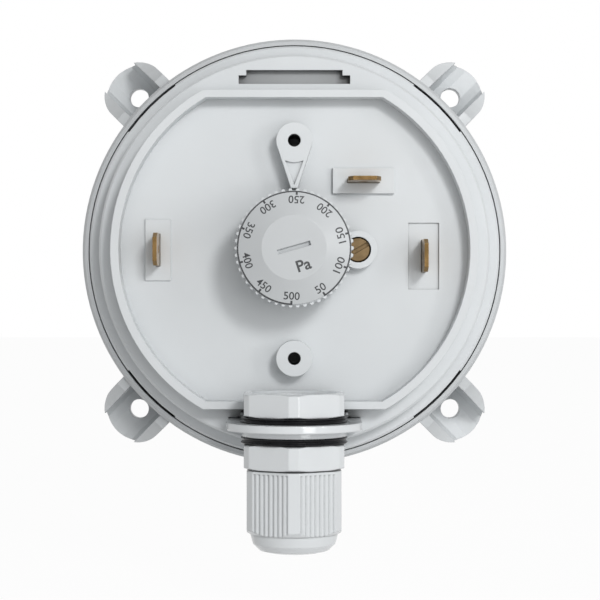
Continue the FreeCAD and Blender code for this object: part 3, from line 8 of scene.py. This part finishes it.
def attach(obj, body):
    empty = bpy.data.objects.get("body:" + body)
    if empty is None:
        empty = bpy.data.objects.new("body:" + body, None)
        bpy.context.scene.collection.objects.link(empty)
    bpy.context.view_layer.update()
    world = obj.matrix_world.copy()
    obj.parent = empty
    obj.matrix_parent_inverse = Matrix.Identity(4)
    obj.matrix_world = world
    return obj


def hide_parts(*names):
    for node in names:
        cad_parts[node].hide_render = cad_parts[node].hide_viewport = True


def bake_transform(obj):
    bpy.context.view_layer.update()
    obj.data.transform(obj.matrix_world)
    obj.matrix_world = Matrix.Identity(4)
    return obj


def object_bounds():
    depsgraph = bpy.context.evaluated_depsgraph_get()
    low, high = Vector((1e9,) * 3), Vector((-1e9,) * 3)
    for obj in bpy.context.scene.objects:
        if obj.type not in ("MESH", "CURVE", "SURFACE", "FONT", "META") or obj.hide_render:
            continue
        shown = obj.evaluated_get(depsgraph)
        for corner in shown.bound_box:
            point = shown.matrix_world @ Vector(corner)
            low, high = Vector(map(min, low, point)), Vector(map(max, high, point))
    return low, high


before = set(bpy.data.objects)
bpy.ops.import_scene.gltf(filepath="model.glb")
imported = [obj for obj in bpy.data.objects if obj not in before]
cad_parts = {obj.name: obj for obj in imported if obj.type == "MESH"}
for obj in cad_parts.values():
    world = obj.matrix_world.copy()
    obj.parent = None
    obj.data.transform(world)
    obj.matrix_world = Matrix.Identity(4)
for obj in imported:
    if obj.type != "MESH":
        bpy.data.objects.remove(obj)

CAD_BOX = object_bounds()
MM = 0.001

# Where the photograph was taken from, in the part's frame, in metres.
# The camera looks straight along the part's Y axis, a quarter turn up from Blender's own view down.
CAMERA_PLACE = Vector((1.11 * MM, -379.75 * MM, -9.78 * MM))
CAMERA_TILT = 90.0
LENS_MM = 108.0
SENSOR_MM = 36.0
NEAREST_SEEN = 0.01
FARTHEST_SEEN = 20.0

# The printed dial on the knob, in millimetres about the knob's axis and degrees round it.
DIAL_LINE_RADIUS = 10.60
DIAL_LINE_WIDTH = 0.30
DIAL_TICK_LENGTH = 0.52
DIAL_TICK_WIDTH = 0.38
DIAL_NUMBER_RADIUS = 9.02
DIAL_NUMBER_HEIGHT = 1.48
DIAL_NUMBER_WIDTH = 3.0
DIAL_FIRST_ANGLE = -56.8
DIAL_STEP_ANGLE = 36.0
DIAL_VALUES = ("50", "100", "150", "200", "250", "300", "350", "400", "450", "500")
DIAL_LINE_STEPS = 160
NUMBER_TURN = 90.0
NUMBER_BOLDNESS = 0.010
UNIT_TEXT = "Pa"
UNIT_PLACE = (1.80, -3.21)
UNIT_TURN = 18.0
UNIT_HEIGHT = 2.2
UNIT_BOLDNESS = 0.022
TEXT_CURVE_STEPS = 4
INK_THICKNESS = 0.012

# The knob's face under the print: a flat disc, a cone round it and a steep bevel at its edge,
# as radii and as depths in front of the mounting plane, in millimetres.
CONE_OUTER_RADIUS = 10.56
CONE_OUTER_DEPTH = 42.3
CONE_INNER_RADIUS = 6.07
CONE_INNER_DEPTH = 44.3
BEVEL_SLOPE = 3.2

# The range spring along the part's Y axis, in millimetres: the middle, where it is cut in two.
SPRING_MIDDLE = -16.9

# Points of a cut mesh that lie nearer than this become one, in metres.
WELD_DISTANCE = 1e-7

# Boxes in the part's frame, as middle and half size in millimetres, and tones across them:
# painted shade in the deep top slot, darkest at its right end, and the knob's face, which is a
# little greyer than its teeth.
SLOT_PAINTED_SHADE = ((0.0, -24.9, 33.95), (11.1, 0.98, 1.6),
              [(0.0, 0.34), (0.09, 0.48), (0.5, 0.58), (0.86, 0.52), (0.93, 0.20), (1.0, 0.06)])
FACE_SHADE = ((0.0, -43.6, 0.0), (12.0, 1.35, 12.0), [(0.0, 0.80), (1.0, 0.84)])

# The base is a little greyer at its ring than at its lugs, from one radius to the other.
BASE_RINGS = (44.4, 48.0, [(0.0, 0.82), (1.0, 1.0)])

# Painted shade in corners, grooves and holes: how far it reaches into a plastic, in millimetres,
# and its tones from a closed corner to the open.
SHELL_CORNER_SHADE = (8.0, [(0.0, 0.03), (0.15, 0.42), (0.38, 0.88), (0.7, 1.0)])
GLAND_CORNER_SHADE = (1.0, [(0.0, 0.20), (0.4, 0.62), (0.7, 0.92), (0.9, 1.0)])
CORNER_SAMPLES = 10
BEVEL_SAMPLES = 6

# Colours of the materials, and shares of the shell's colour for the other pale plastics.
SHELL_COLOUR = (0.685, 0.710, 0.724)
BASE_SHARE = 1.02
GLAND_SHARE = 1.06
INNER_COLOUR = (0.78, 0.77, 0.74)
RUBBER_COLOUR = (0.007, 0.007, 0.008)
SILICONE_COLOUR = (0.72, 0.70, 0.66)
TERMINAL_COLOUR = (0.250, 0.155, 0.062)
SCREW_COLOUR = (0.150, 0.104, 0.055)
BRASS_GLINT = (1.0, 0.93, 0.84, 1)
PLATING_COLOUR = (0.80, 0.79, 0.76)
STEEL_COLOUR = (0.56, 0.56, 0.57)
INK_DARK = (0.035, 0.037, 0.04)
INK_PALE = (0.075, 0.078, 0.082)

# How each material lets light in: refraction of plastic, mirror share of rubber, and how much and
# how far in millimetres light spreads in silicone.
PLASTIC_IOR = 1.48
RUBBER_GLOSS = 0.2
SILICONE_SPREAD = 0.15
SILICONE_SPREAD_REACH = 1.0

# Noise mostly stays between these two values.
NOISE_LOW = 0.3
NOISE_HIGH = 0.7

# The floor, in metres: half its width, and how far it lies under the part. Then its grey, and the
# share of plain white that the camera sees in it.
FLOOR_HALF_WIDTH = 2.5
FLOOR_GAP = 0.012
FLOOR_GREY = (0.94, 0.94, 0.94, 1)
FLOOR_WHITE_SHARE = 0.96

# The world's own light, and the strength at which a background is plain white.
WHITE = (1.0, 1.0, 1.0, 1)
WORLD_STRENGTH = 0.34
WHITE_STRENGTH = 1.0

# Soft boxes that look at one point: name, place, width and height in metres, and watts.
LAMP_TARGET = Vector((0.0, -0.02, 0.0))
LAMPS = (
    ("key", (0.23, -0.70, 0.25), 0.13, 0.13, 1.95),
    ("front", (0.17, -0.88, 0.22), 0.25, 0.25, 0.65),
    ("side", (0.68, -0.62, 0.10), 0.16, 0.50, 1.25),
    ("strip", (0.18, -0.42, -0.048), 0.15, 0.04, 0.08),
)


def new_material(name):
    """An empty node material and its principled shader."""
    material = bpy.data.materials.new(name)
    material.use_nodes = True
    nodes = material.node_tree.nodes
    shader = next(node for node in nodes if node.type == "BSDF_PRINCIPLED")
    return material, material.node_tree, shader


def noise(tree, scale, detail, stretch=(1, 1, 1), offset=(0, 0, 0)):
    """Noise in the object's own space, in cycles per millimetre."""
    place = tree.nodes.new("ShaderNodeTexCoord")
    mapping = tree.nodes.new("ShaderNodeMapping")
    mapping.inputs["Scale"].default_value = [part / MM for part in stretch]
    mapping.inputs["Location"].default_value = offset
    pattern = tree.nodes.new("ShaderNodeTexNoise")
    pattern.inputs["Scale"].default_value = scale
    pattern.inputs["Detail"].default_value = detail
    tree.links.new(place.outputs["Object"], mapping.inputs["Vector"])
    tree.links.new(mapping.outputs["Vector"], pattern.inputs["Vector"])
    return pattern.outputs["Fac"]


def ramp(tree, source, stops):
    """Turn a value into a colour through a few stops."""
    node = tree.nodes.new("ShaderNodeValToRGB")
    band = node.color_ramp
    while len(band.elements) < len(stops):
        band.elements.new(0.5)
    for element, (place, colour) in zip(band.elements, stops):
        element.position = place
        element.color = (*colour, 1.0)
    tree.links.new(source, node.inputs["Fac"])
    return node.outputs["Color"]


def shade(colour, factor):
    return tuple(part * factor for part in colour)


def two_tones(tree, source, colour, dark, light, low=NOISE_LOW, high=NOISE_HIGH):
    """A colour that noise varies between two shares of itself."""
    return ramp(tree, source, [(low, shade(colour, dark)), (high, shade(colour, light))])


def stretch_value(tree, source, low, high):
    """Map noise to another range."""
    node = tree.nodes.new("ShaderNodeMapRange")
    node.inputs["From Min"].default_value = NOISE_LOW
    node.inputs["From Max"].default_value = NOISE_HIGH
    node.inputs["To Min"].default_value = low
    node.inputs["To Max"].default_value = high
    tree.links.new(source, node.inputs["Value"])
    return node.outputs["Result"]


def rounded_normal(tree, radius_mm):
    """A normal that softens sharp edges by a small radius."""
    node = tree.nodes.new("ShaderNodeBevel")
    node.samples = BEVEL_SAMPLES
    node.inputs["Radius"].default_value = radius_mm * MM
    return node.outputs["Normal"]


def bump(tree, source, distance_mm, strength, normal=None):
    """A normal that follows a height pattern, over a softened normal if one is given."""
    node = tree.nodes.new("ShaderNodeBump")
    node.inputs["Distance"].default_value = distance_mm * MM
    node.inputs["Strength"].default_value = strength
    tree.links.new(source, node.inputs["Height"])
    if normal is not None:
        tree.links.new(normal, node.inputs["Normal"])
    return node.outputs["Normal"]


def combine(tree, operation, first, second):
    """A math node over two values."""
    node = tree.nodes.new("ShaderNodeMath")
    node.operation = operation
    tree.links.new(first, node.inputs[0])
    tree.links.new(second, node.inputs[1])
    return node.outputs[0]


def inside_box(tree, middle, half):
    """1 within a box of the object's own space, given in millimetres, and 0 outside it."""
    place = tree.nodes.new("ShaderNodeTexCoord")
    parts = tree.nodes.new("ShaderNodeSeparateXYZ")
    tree.links.new(place.outputs["Object"], parts.inputs["Vector"])
    within = []
    for axis, (centre, reach) in enumerate(zip(middle, half)):
        node = tree.nodes.new("ShaderNodeMath")
        node.operation = "COMPARE"
        node.inputs[1].default_value = centre * MM
        node.inputs[2].default_value = reach * MM
        tree.links.new(parts.outputs[axis], node.inputs[0])
        within.append(node.outputs[0])
    flat = combine(tree, "MULTIPLY", within[0], within[1])
    return combine(tree, "MULTIPLY", flat, within[2])


def across_box(tree, low, high):
    """A value from 0 to 1 across the part, between two places in millimetres."""
    place = tree.nodes.new("ShaderNodeTexCoord")
    parts = tree.nodes.new("ShaderNodeSeparateXYZ")
    tree.links.new(place.outputs["Object"], parts.inputs["Vector"])
    node = tree.nodes.new("ShaderNodeMapRange")
    node.inputs["From Min"].default_value = low * MM
    node.inputs["From Max"].default_value = high * MM
    tree.links.new(parts.outputs["X"], node.inputs["Value"])
    return node.outputs["Result"]


def grey_ramp(tree, source, tones):
    """Turn a value into a grey through a few stops."""
    return ramp(tree, source, [(place, (grey, grey, grey)) for place, grey in tones])


def multiply_colours(tree, first, second, factor=None):
    """Multiply two colours, wholly or where a factor says so."""
    node = tree.nodes.new("ShaderNodeMix")
    node.data_type = "RGBA"
    node.blend_type = "MULTIPLY"
    if factor is None:
        node.inputs["Factor"].default_value = 1.0
    else:
        tree.links.new(factor, node.inputs["Factor"])
    colour_inputs = [socket for socket in node.inputs if socket.type == "RGBA"]
    colour_output = next(socket for socket in node.outputs if socket.type == "RGBA")
    tree.links.new(first, colour_inputs[0])
    tree.links.new(second, colour_inputs[1])
    return colour_output


def tone_in_box(tree, colour, middle, half, tones):
    """Multiply a colour by tones that run across a box, and leave it alone outside the box."""
    low = middle[0] - half[0]
    high = middle[0] + half[0]
    tone = grey_ramp(tree, across_box(tree, low, high), tones)
    return multiply_colours(tree, colour, tone, inside_box(tree, middle, half))


def tone_by_radius(tree, colour, near, far, tones):
    """Multiply a colour by tones that run outwards from the part's axis."""
    place = tree.nodes.new("ShaderNodeTexCoord")
    flatten = tree.nodes.new("ShaderNodeVectorMath")
    flatten.operation = "MULTIPLY"
    flatten.inputs[1].default_value = (1, 0, 1)
    length = tree.nodes.new("ShaderNodeVectorMath")
    length.operation = "LENGTH"
    outwards = tree.nodes.new("ShaderNodeMapRange")
    outwards.inputs["From Min"].default_value = near * MM
    outwards.inputs["From Max"].default_value = far * MM
    tree.links.new(place.outputs["Object"], flatten.inputs[0])
    tree.links.new(flatten.outputs["Vector"], length.inputs[0])
    tree.links.new(length.outputs["Value"], outwards.inputs["Value"])
    tone = grey_ramp(tree, outwards.outputs["Result"], tones)
    return multiply_colours(tree, colour, tone)


def painted_corner_shade(tree, colour, reach_mm, tones):
    """Painted shade: darken a colour in corners, grooves and holes, where shade falls, up to a
    distance from their walls.
    """
    node = tree.nodes.new("ShaderNodeAmbientOcclusion")
    node.samples = CORNER_SAMPLES
    node.inputs["Distance"].default_value = reach_mm * MM
    return multiply_colours(tree, colour, grey_ramp(tree, node.outputs["AO"], tones))


def finish_material(tree, shader, colour, roughness, normal):
    """Connect a material's colour, roughness and normal to its shader."""
    tree.links.new(colour, shader.inputs["Base Color"])
    tree.links.new(roughness, shader.inputs["Roughness"])
    tree.links.new(normal, shader.inputs["Normal"])


def moulded_plastic(name, colour, roughness, grain=0.02, edge=0.22, gloss=0.5, wear=0.05,
                    toned=None, rings=None, corners=None):
    """Satin moulded plastic: slight clouding, a fine spark-eroded grain and softened edges, with
    tones in a box or by radius and painted shade in corners where they are given.

    The grain's height and the edges' radius are in millimetres, and the roughness varies by wear.
    """
    material, tree, shader = new_material(name)
    clouds = noise(tree, scale=0.06, detail=3.0)
    fine = noise(tree, scale=2.2, detail=2.0, offset=(3, 7, 1))
    smears = noise(tree, scale=0.35, detail=4.0, offset=(9, 2, 4))
    tint = two_tones(tree, clouds, colour, dark=0.975, light=1.02)
    if toned is not None:
        tint = tone_in_box(tree, tint, *toned)
    if rings is not None:
        tint = tone_by_radius(tree, tint, *rings)
    if corners is not None:
        # Painted shade in corners, grooves and holes.
        tint = painted_corner_shade(tree, tint, *corners)
    polish = stretch_value(tree, smears, low=roughness - wear, high=roughness + wear)
    softened = rounded_normal(tree, edge)
    grainy = bump(tree, fine, distance_mm=grain, strength=0.35, normal=softened)
    finish_material(tree, shader, tint, polish, grainy)
    shader.inputs["Specular IOR Level"].default_value = gloss
    shader.inputs["IOR"].default_value = PLASTIC_IOR
    return material


def stamped_brass(name, colour, roughness, stretch):
    """Brass with rolling marks along the strip and a little darker tarnish in patches."""
    material, tree, shader = new_material(name)
    patches = noise(tree, scale=0.5, detail=5.0, offset=(2, 5, 8))
    tint = ramp(tree, patches, [(0.25, shade(colour, 0.72)), (0.55, colour),
                                (0.8, shade(colour, 1.12))])
    lines = noise(tree, scale=1.0, detail=3.0, stretch=stretch)
    polish = stretch_value(tree, lines, low=roughness - 0.08, high=roughness + 0.12)
    softened = rounded_normal(tree, radius_mm=0.12)
    rolled = bump(tree, lines, distance_mm=0.02, strength=0.4, normal=softened)
    finish_material(tree, shader, tint, polish, rolled)
    shader.inputs["Metallic"].default_value = 1.0
    shader.inputs["Specular Tint"].default_value = BRASS_GLINT
    return material


def rubber(name, colour, roughness):
    """Soft rubber with a faint dusty bloom."""
    material, tree, shader = new_material(name)
    bloom = noise(tree, scale=0.4, detail=6.0, offset=(1, 1, 6))
    tint = two_tones(tree, bloom, colour, dark=1.0, light=1.9, low=0.35, high=0.75)
    polish = stretch_value(tree, bloom, low=roughness - 0.06, high=roughness + 0.1)
    softened = rounded_normal(tree, radius_mm=0.2)
    pores = noise(tree, scale=3.0, detail=2.0)
    porous = bump(tree, pores, distance_mm=0.01, strength=0.4, normal=softened)
    finish_material(tree, shader, tint, polish, porous)
    shader.inputs["Specular IOR Level"].default_value = RUBBER_GLOSS
    return material


def plated_metal(name, colour, roughness):
    """Drawn or plated metal with fine streaks."""
    material, tree, shader = new_material(name)
    streaks = noise(tree, scale=1.6, detail=4.0, stretch=(1, 0.2, 1))
    tint = two_tones(tree, streaks, colour, dark=0.85, light=1.05)
    polish = stretch_value(tree, streaks, low=roughness - 0.06, high=roughness + 0.1)
    drawn = bump(tree, streaks, distance_mm=0.01, strength=0.3)
    finish_material(tree, shader, tint, polish, drawn)
    shader.inputs["Metallic"].default_value = 1.0
    return material


def silicone(name, colour):
    """Milky silicone rubber."""
    material, tree, shader = new_material(name)
    milk = noise(tree, scale=0.15, detail=4.0)
    tint = two_tones(tree, milk, colour, dark=0.94, light=1.03)
    polish = stretch_value(tree, milk, low=0.38, high=0.5)
    skin = noise(tree, scale=1.2, detail=3.0)
    soft = bump(tree, skin, distance_mm=0.02, strength=0.3)
    finish_material(tree, shader, tint, polish, soft)
    shader.inputs["Subsurface Weight"].default_value = SILICONE_SPREAD
    shader.inputs["Subsurface Scale"].default_value = SILICONE_SPREAD_REACH * MM
    return material


def printed_ink(name):
    """Dark pad-printed ink, slightly mottled."""
    material, tree, shader = new_material(name)
    speckle = noise(tree, scale=4.0, detail=3.0)
    tint = ramp(tree, speckle, [(0.3, INK_DARK), (0.75, INK_PALE)])
    polish = stretch_value(tree, speckle, low=0.42, high=0.6)
    uneven = bump(tree, speckle, distance_mm=0.005, strength=0.3)
    finish_material(tree, shader, tint, polish, uneven)
    return material


def paint(material, *node_names):
    """Give CAD nodes a material."""
    for name in node_names:
        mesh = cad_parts[name].data
        mesh.materials.clear()
        mesh.materials.append(material)


def dress_housing():
    """Both shells, the knob and the inner mouldings."""
    base = moulded_plastic("base_plastic", shade(SHELL_COLOUR, BASE_SHARE), roughness=0.42,
                           rings=BASE_RINGS)
    # The upper shell's colour holds painted shade in its top slot.
    upper = moulded_plastic("housing_plastic", SHELL_COLOUR, roughness=0.42,
                            toned=SLOT_PAINTED_SHADE, corners=SHELL_CORNER_SHADE)
    knob = moulded_plastic("knob_plastic", SHELL_COLOUR, roughness=0.32, grain=0.01, edge=0.12,
                           wear=0.012, toned=FACE_SHADE)
    inner = moulded_plastic("inner_plastic", INNER_COLOUR, roughness=0.5)
    paint(base, "base_housing")
    paint(upper, "upper_housing")
    paint(knob, "adjusting_knob")
    paint(inner, "spring_seat", "diaphragm_plate", "gland_clamp_insert")


def dress_gland_and_seals():
    """The smooth nylon of the gland, the black rubber and the diaphragm."""
    # The nylon's colour holds painted shade in the grooves of its flutes and in its other corners.
    nylon = moulded_plastic("gland_nylon", shade(SHELL_COLOUR, GLAND_SHARE), roughness=0.10,
                            grain=0.001, edge=0.45, gloss=1.0, wear=0.008,
                            corners=GLAND_CORNER_SHADE)
    black = rubber("black_rubber", RUBBER_COLOUR, roughness=0.30)
    paint(nylon, "gland_locknut", "gland_collar", "gland_body", "gland_dome_nut")
    paint(black, "gland_inner_seal", "gland_outer_seal", "gland_seal_bush", "p2_seal")
    paint(silicone("silicone_rubber", SILICONE_COLOUR), "diaphragm")


def dress_metal():
    """The brass blades, lever and screw, the contacts and the steel pieces."""
    blade = stamped_brass("terminal_brass", TERMINAL_COLOUR, roughness=0.14,
                          stretch=(0.3, 3.0, 0.3))
    screw = stamped_brass("screw_brass", SCREW_COLOUR, roughness=0.38, stretch=(2.0, 0.4, 2.0))
    plating = plated_metal("contact_plating", PLATING_COLOUR, roughness=0.28)
    steel = plated_metal("spring_steel", STEEL_COLOUR, roughness=0.30)
    paint(blade, "common_terminal", "open_terminal", "closed_terminal", "contact_lever")
    paint(screw, "calibration_screw")
    paint(plating, "moving_contact", "open_contact", "closed_contact")
    paint(steel, "range_spring", "knob_clip", "lever_pivot_pin")


def dial_depth(radius):
    """How far in front of the mounting plane the knob's face is, in millimetres."""
    if radius <= CONE_INNER_RADIUS:
        return CONE_INNER_DEPTH
    if radius > CONE_OUTER_RADIUS:
        return CONE_OUTER_DEPTH - (radius - CONE_OUTER_RADIUS) * BEVEL_SLOPE
    slope = (CONE_INNER_DEPTH - CONE_OUTER_DEPTH) / (CONE_OUTER_RADIUS - CONE_INNER_RADIUS)
    return CONE_OUTER_DEPTH + (CONE_OUTER_RADIUS - radius) * slope


def on_dial(across, up, lift):
    """A point of the knob's face in the part's frame, lifted off it by lift millimetres."""
    depth = dial_depth(math.hypot(across, up)) + lift
    return (across * MM, -depth * MM, up * MM)


def text_outline(words, height, width, bold):
    """The vertices and faces of a thin flat text, centred, in millimetres.

    With no width the text keeps its own proportions.
    """
    curve = bpy.data.curves.new("dial_text", "FONT")
    curve.body = words
    curve.size = 1.0
    curve.extrude = 0.5
    curve.offset = bold
    curve.resolution_u = TEXT_CURVE_STEPS
    carrier = bpy.data.objects.new("dial_text", curve)
    bpy.context.scene.collection.objects.link(carrier)
    bpy.context.view_layer.update()
    graph = bpy.context.evaluated_depsgraph_get()
    mesh = bpy.data.meshes.new_from_object(carrier.evaluated_get(graph))
    points = [vertex.co.copy() for vertex in mesh.vertices]
    faces = [tuple(face.vertices) for face in mesh.polygons]
    bpy.data.objects.remove(carrier)
    bpy.data.curves.remove(curve)
    bpy.data.meshes.remove(mesh)
    low_x = min(point.x for point in points)
    high_x = max(point.x for point in points)
    low_y = min(point.y for point in points)
    high_y = max(point.y for point in points)
    tall = height / (high_y - low_y)
    wide = tall if width is None else width / (high_x - low_x)
    centred = [((point.x - (low_x + high_x) / 2) * wide,
                (point.y - (low_y + high_y) / 2) * tall,
                point.z) for point in points]
    return centred, faces


def add_text(mesh_points, mesh_faces, words, place, turn, height, bold, width=None):
    """Lay a text on the knob's face about a place, turned by an angle in degrees."""
    points, faces = text_outline(words, height, width, bold)
    first = len(mesh_points)
    cosine = math.cos(math.radians(turn))
    sine = math.sin(math.radians(turn))
    for x, y, side in points:
        across = place[0] + x * cosine - y * sine
        up = place[1] + x * sine + y * cosine
        lift = INK_THICKNESS if side > 0 else -INK_THICKNESS
        mesh_points.append(on_dial(across, up, lift))
    mesh_faces.extend(tuple(first + index for index in face) for face in faces)


def add_strip(mesh_points, mesh_faces, pairs):
    """A thin closed band through pairs of left and right points on the knob's face.

    Each pair gives four points: left over and under the face, then right over and under it.
    """
    first = len(mesh_points)
    for pair in pairs:
        for side in pair:
            mesh_points.append(on_dial(*side, INK_THICKNESS))
            mesh_points.append(on_dial(*side, -INK_THICKNESS))
    last = len(mesh_points) - 4
    for here in range(first, last, 4):
        ahead = here + 4
        mesh_faces.append((here, ahead, ahead + 2, here + 2))
        mesh_faces.append((here + 1, here + 3, ahead + 3, ahead + 1))
        mesh_faces.append((here, here + 1, ahead + 1, ahead))
        mesh_faces.append((here + 2, ahead + 2, ahead + 3, here + 3))
    mesh_faces.append((first, first + 2, first + 3, first + 1))
    mesh_faces.append((last, last + 1, last + 3, last + 2))


def polar(angle, radius, across=0.0):
    """A point on a radius, shifted sideways, in millimetres."""
    heading = math.radians(angle)
    return (radius * math.cos(heading) - across * math.sin(heading),
            radius * math.sin(heading) + across * math.cos(heading))


def build_dial_print(material):
    """Scale line, ticks, plain numbers and the unit, printed on the knob."""
    points = []
    faces = []
    span = DIAL_STEP_ANGLE * (len(DIAL_VALUES) - 1)
    inner = DIAL_LINE_RADIUS - DIAL_LINE_WIDTH / 2
    outer = DIAL_LINE_RADIUS + DIAL_LINE_WIDTH / 2
    for low, high in ((inner, CONE_OUTER_RADIUS), (CONE_OUTER_RADIUS, outer)):
        ring = []
        for step in range(DIAL_LINE_STEPS + 1):
            angle = DIAL_FIRST_ANGLE + span * step / DIAL_LINE_STEPS
            ring.append((polar(angle, high), polar(angle, low)))
        add_strip(points, faces, ring)
    half = DIAL_TICK_WIDTH / 2
    most_digits = max(len(words) for words in DIAL_VALUES)
    for number, words in enumerate(DIAL_VALUES):
        angle = DIAL_FIRST_ANGLE + DIAL_STEP_ANGLE * number
        tick = [(polar(angle, radius, -half), polar(angle, radius, half))
                for radius in (inner - DIAL_TICK_LENGTH, CONE_OUTER_RADIUS, outer)]
        add_strip(points, faces, tick)
        add_text(points, faces, words, polar(angle, DIAL_NUMBER_RADIUS), angle + NUMBER_TURN,
                 DIAL_NUMBER_HEIGHT, NUMBER_BOLDNESS,
                 width=DIAL_NUMBER_WIDTH * len(words) / most_digits)
    add_text(points, faces, UNIT_TEXT, UNIT_PLACE, UNIT_TURN, UNIT_HEIGHT, UNIT_BOLDNESS)
    mesh = bpy.data.meshes.new("dial_print")
    mesh.from_pydata(points, [], faces)
    mesh.validate()
    mesh.materials.append(material)
    piece = bpy.data.objects.new("dial_print", mesh)
    bpy.context.scene.collection.objects.link(piece)
    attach(piece, "knob")


def half_spring(name, front):
    """The front or back half of the range spring, as a closed mesh of its own."""
    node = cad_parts["range_spring"]
    shape = bmesh.new()
    shape.from_mesh(node.data)
    bmesh.ops.remove_doubles(shape, verts=shape.verts[:], dist=WELD_DISTANCE)
    bmesh.ops.bisect_plane(
        shape, geom=shape.verts[:] + shape.edges[:] + shape.faces[:], dist=WELD_DISTANCE,
        plane_co=(0, SPRING_MIDDLE * MM, 0), plane_no=(0, 1, 0),
        clear_outer=front, clear_inner=not front)
    rim = [edge for edge in shape.edges if edge.is_boundary]
    bmesh.ops.holes_fill(shape, edges=rim)
    mesh = bpy.data.meshes.new(name)
    shape.to_mesh(mesh)
    shape.free()
    for polygon in mesh.polygons:
        polygon.use_smooth = True
    mesh.materials.append(node.data.materials[0])
    piece = bpy.data.objects.new(name, mesh)
    bpy.context.scene.collection.objects.link(piece)
    return piece


def build_range_spring():
    """The range spring in two halves, which stand in for the whole one."""
    front = half_spring("range_spring_front", True)
    back = half_spring("range_spring_back", False)
    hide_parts("range_spring")
    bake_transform(front)
    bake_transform(back)


def build_stage():
    """A plain pale floor under the part, which the camera sees as nearly white."""
    mesh = bpy.data.meshes.new("floor")
    half = FLOOR_HALF_WIDTH
    level = CAD_BOX[0][2] - FLOOR_GAP
    mesh.from_pydata([(-half, -half, level), (half, -half, level),
                      (half, half, level), (-half, half, level)], [], [(0, 1, 2, 3)])
    floor = bpy.data.objects.new("floor", mesh)
    bpy.context.scene.collection.objects.link(floor)
    material = bpy.data.materials.new("floor_white")
    material.use_nodes = True
    tree = material.node_tree
    tree.nodes.clear()
    output = tree.nodes.new("ShaderNodeOutputMaterial")
    diffuse = tree.nodes.new("ShaderNodeBsdfDiffuse")
    diffuse.inputs["Color"].default_value = FLOOR_GREY
    glow = tree.nodes.new("ShaderNodeEmission")
    glow.inputs["Color"].default_value = WHITE
    glow.inputs["Strength"].default_value = WHITE_STRENGTH
    add_white_for_camera(tree, output, diffuse.outputs[0], glow.outputs[0], FLOOR_WHITE_SHARE)
    mesh.materials.append(material)


def add_white_for_camera(tree, output, plain, white, share):
    """Mix a share of white into what the camera sees, straight, reflected or refracted."""
    path = tree.nodes.new("ShaderNodeLightPath")
    seen = combine(tree, "MAXIMUM", path.outputs["Is Camera Ray"], path.outputs["Is Glossy Ray"])
    clear = combine(tree, "MAXIMUM", seen, path.outputs["Is Transmission Ray"])
    scaled = tree.nodes.new("ShaderNodeMath")
    scaled.operation = "MULTIPLY"
    scaled.inputs[1].default_value = share
    tree.links.new(clear, scaled.inputs[0])
    mix = tree.nodes.new("ShaderNodeMixShader")
    tree.links.new(scaled.outputs[0], mix.inputs["Fac"])
    tree.links.new(plain, mix.inputs[1])
    tree.links.new(white, mix.inputs[2])
    tree.links.new(mix.outputs[0], output.inputs["Surface"])


def build_world():
    """Soft even light from all round, and plain white behind the part."""
    world = bpy.data.worlds.new("studio")
    bpy.context.scene.world = world
    world.use_nodes = True
    tree = world.node_tree
    tree.nodes.clear()
    output = tree.nodes.new("ShaderNodeOutputWorld")
    soft = tree.nodes.new("ShaderNodeBackground")
    soft.inputs["Color"].default_value = WHITE
    soft.inputs["Strength"].default_value = WORLD_STRENGTH
    white = tree.nodes.new("ShaderNodeBackground")
    white.inputs["Color"].default_value = WHITE
    white.inputs["Strength"].default_value = WHITE_STRENGTH
    add_white_for_camera(tree, output, soft.outputs[0], white.outputs[0], share=1.0)


def add_lamp(name, place, wide, high, power):
    """A soft box that looks at the part's middle."""
    lamp = bpy.data.lights.new(name, "AREA")
    lamp.shape = "RECTANGLE"
    lamp.size = wide
    lamp.size_y = high
    lamp.energy = power
    holder = bpy.data.objects.new(name, lamp)
    holder.location = place
    direction = LAMP_TARGET - Vector(place)
    holder.rotation_euler = direction.to_track_quat("-Z", "Y").to_euler()
    bpy.context.scene.collection.objects.link(holder)


def build_lights():
    """A small key at the upper right, soft boxes in front and at the right, and a low strip."""
    for lamp in LAMPS:
        add_lamp(*lamp)


def build_camera():
    """The camera at the photograph's place."""
    camera = bpy.data.cameras.new("photo_camera")
    camera.lens = LENS_MM
    camera.sensor_width = SENSOR_MM
    camera.clip_start = NEAREST_SEEN
    camera.clip_end = FARTHEST_SEEN
    holder = bpy.data.objects.new("photo_camera", camera)
    tilt = Matrix.Rotation(math.radians(CAMERA_TILT), 4, "X")
    holder.matrix_world = Matrix.Translation(CAMERA_PLACE) @ tilt
    bpy.context.scene.collection.objects.link(holder)
    bpy.context.scene.camera = holder


dress_housing()
dress_gland_and_seals()
dress_metal()
build_dial_print(printed_ink("dial_ink"))
build_range_spring()
build_stage()
build_world()
build_lights()
build_camera()
bpy.context.scene.view_settings.view_transform = "Standard"
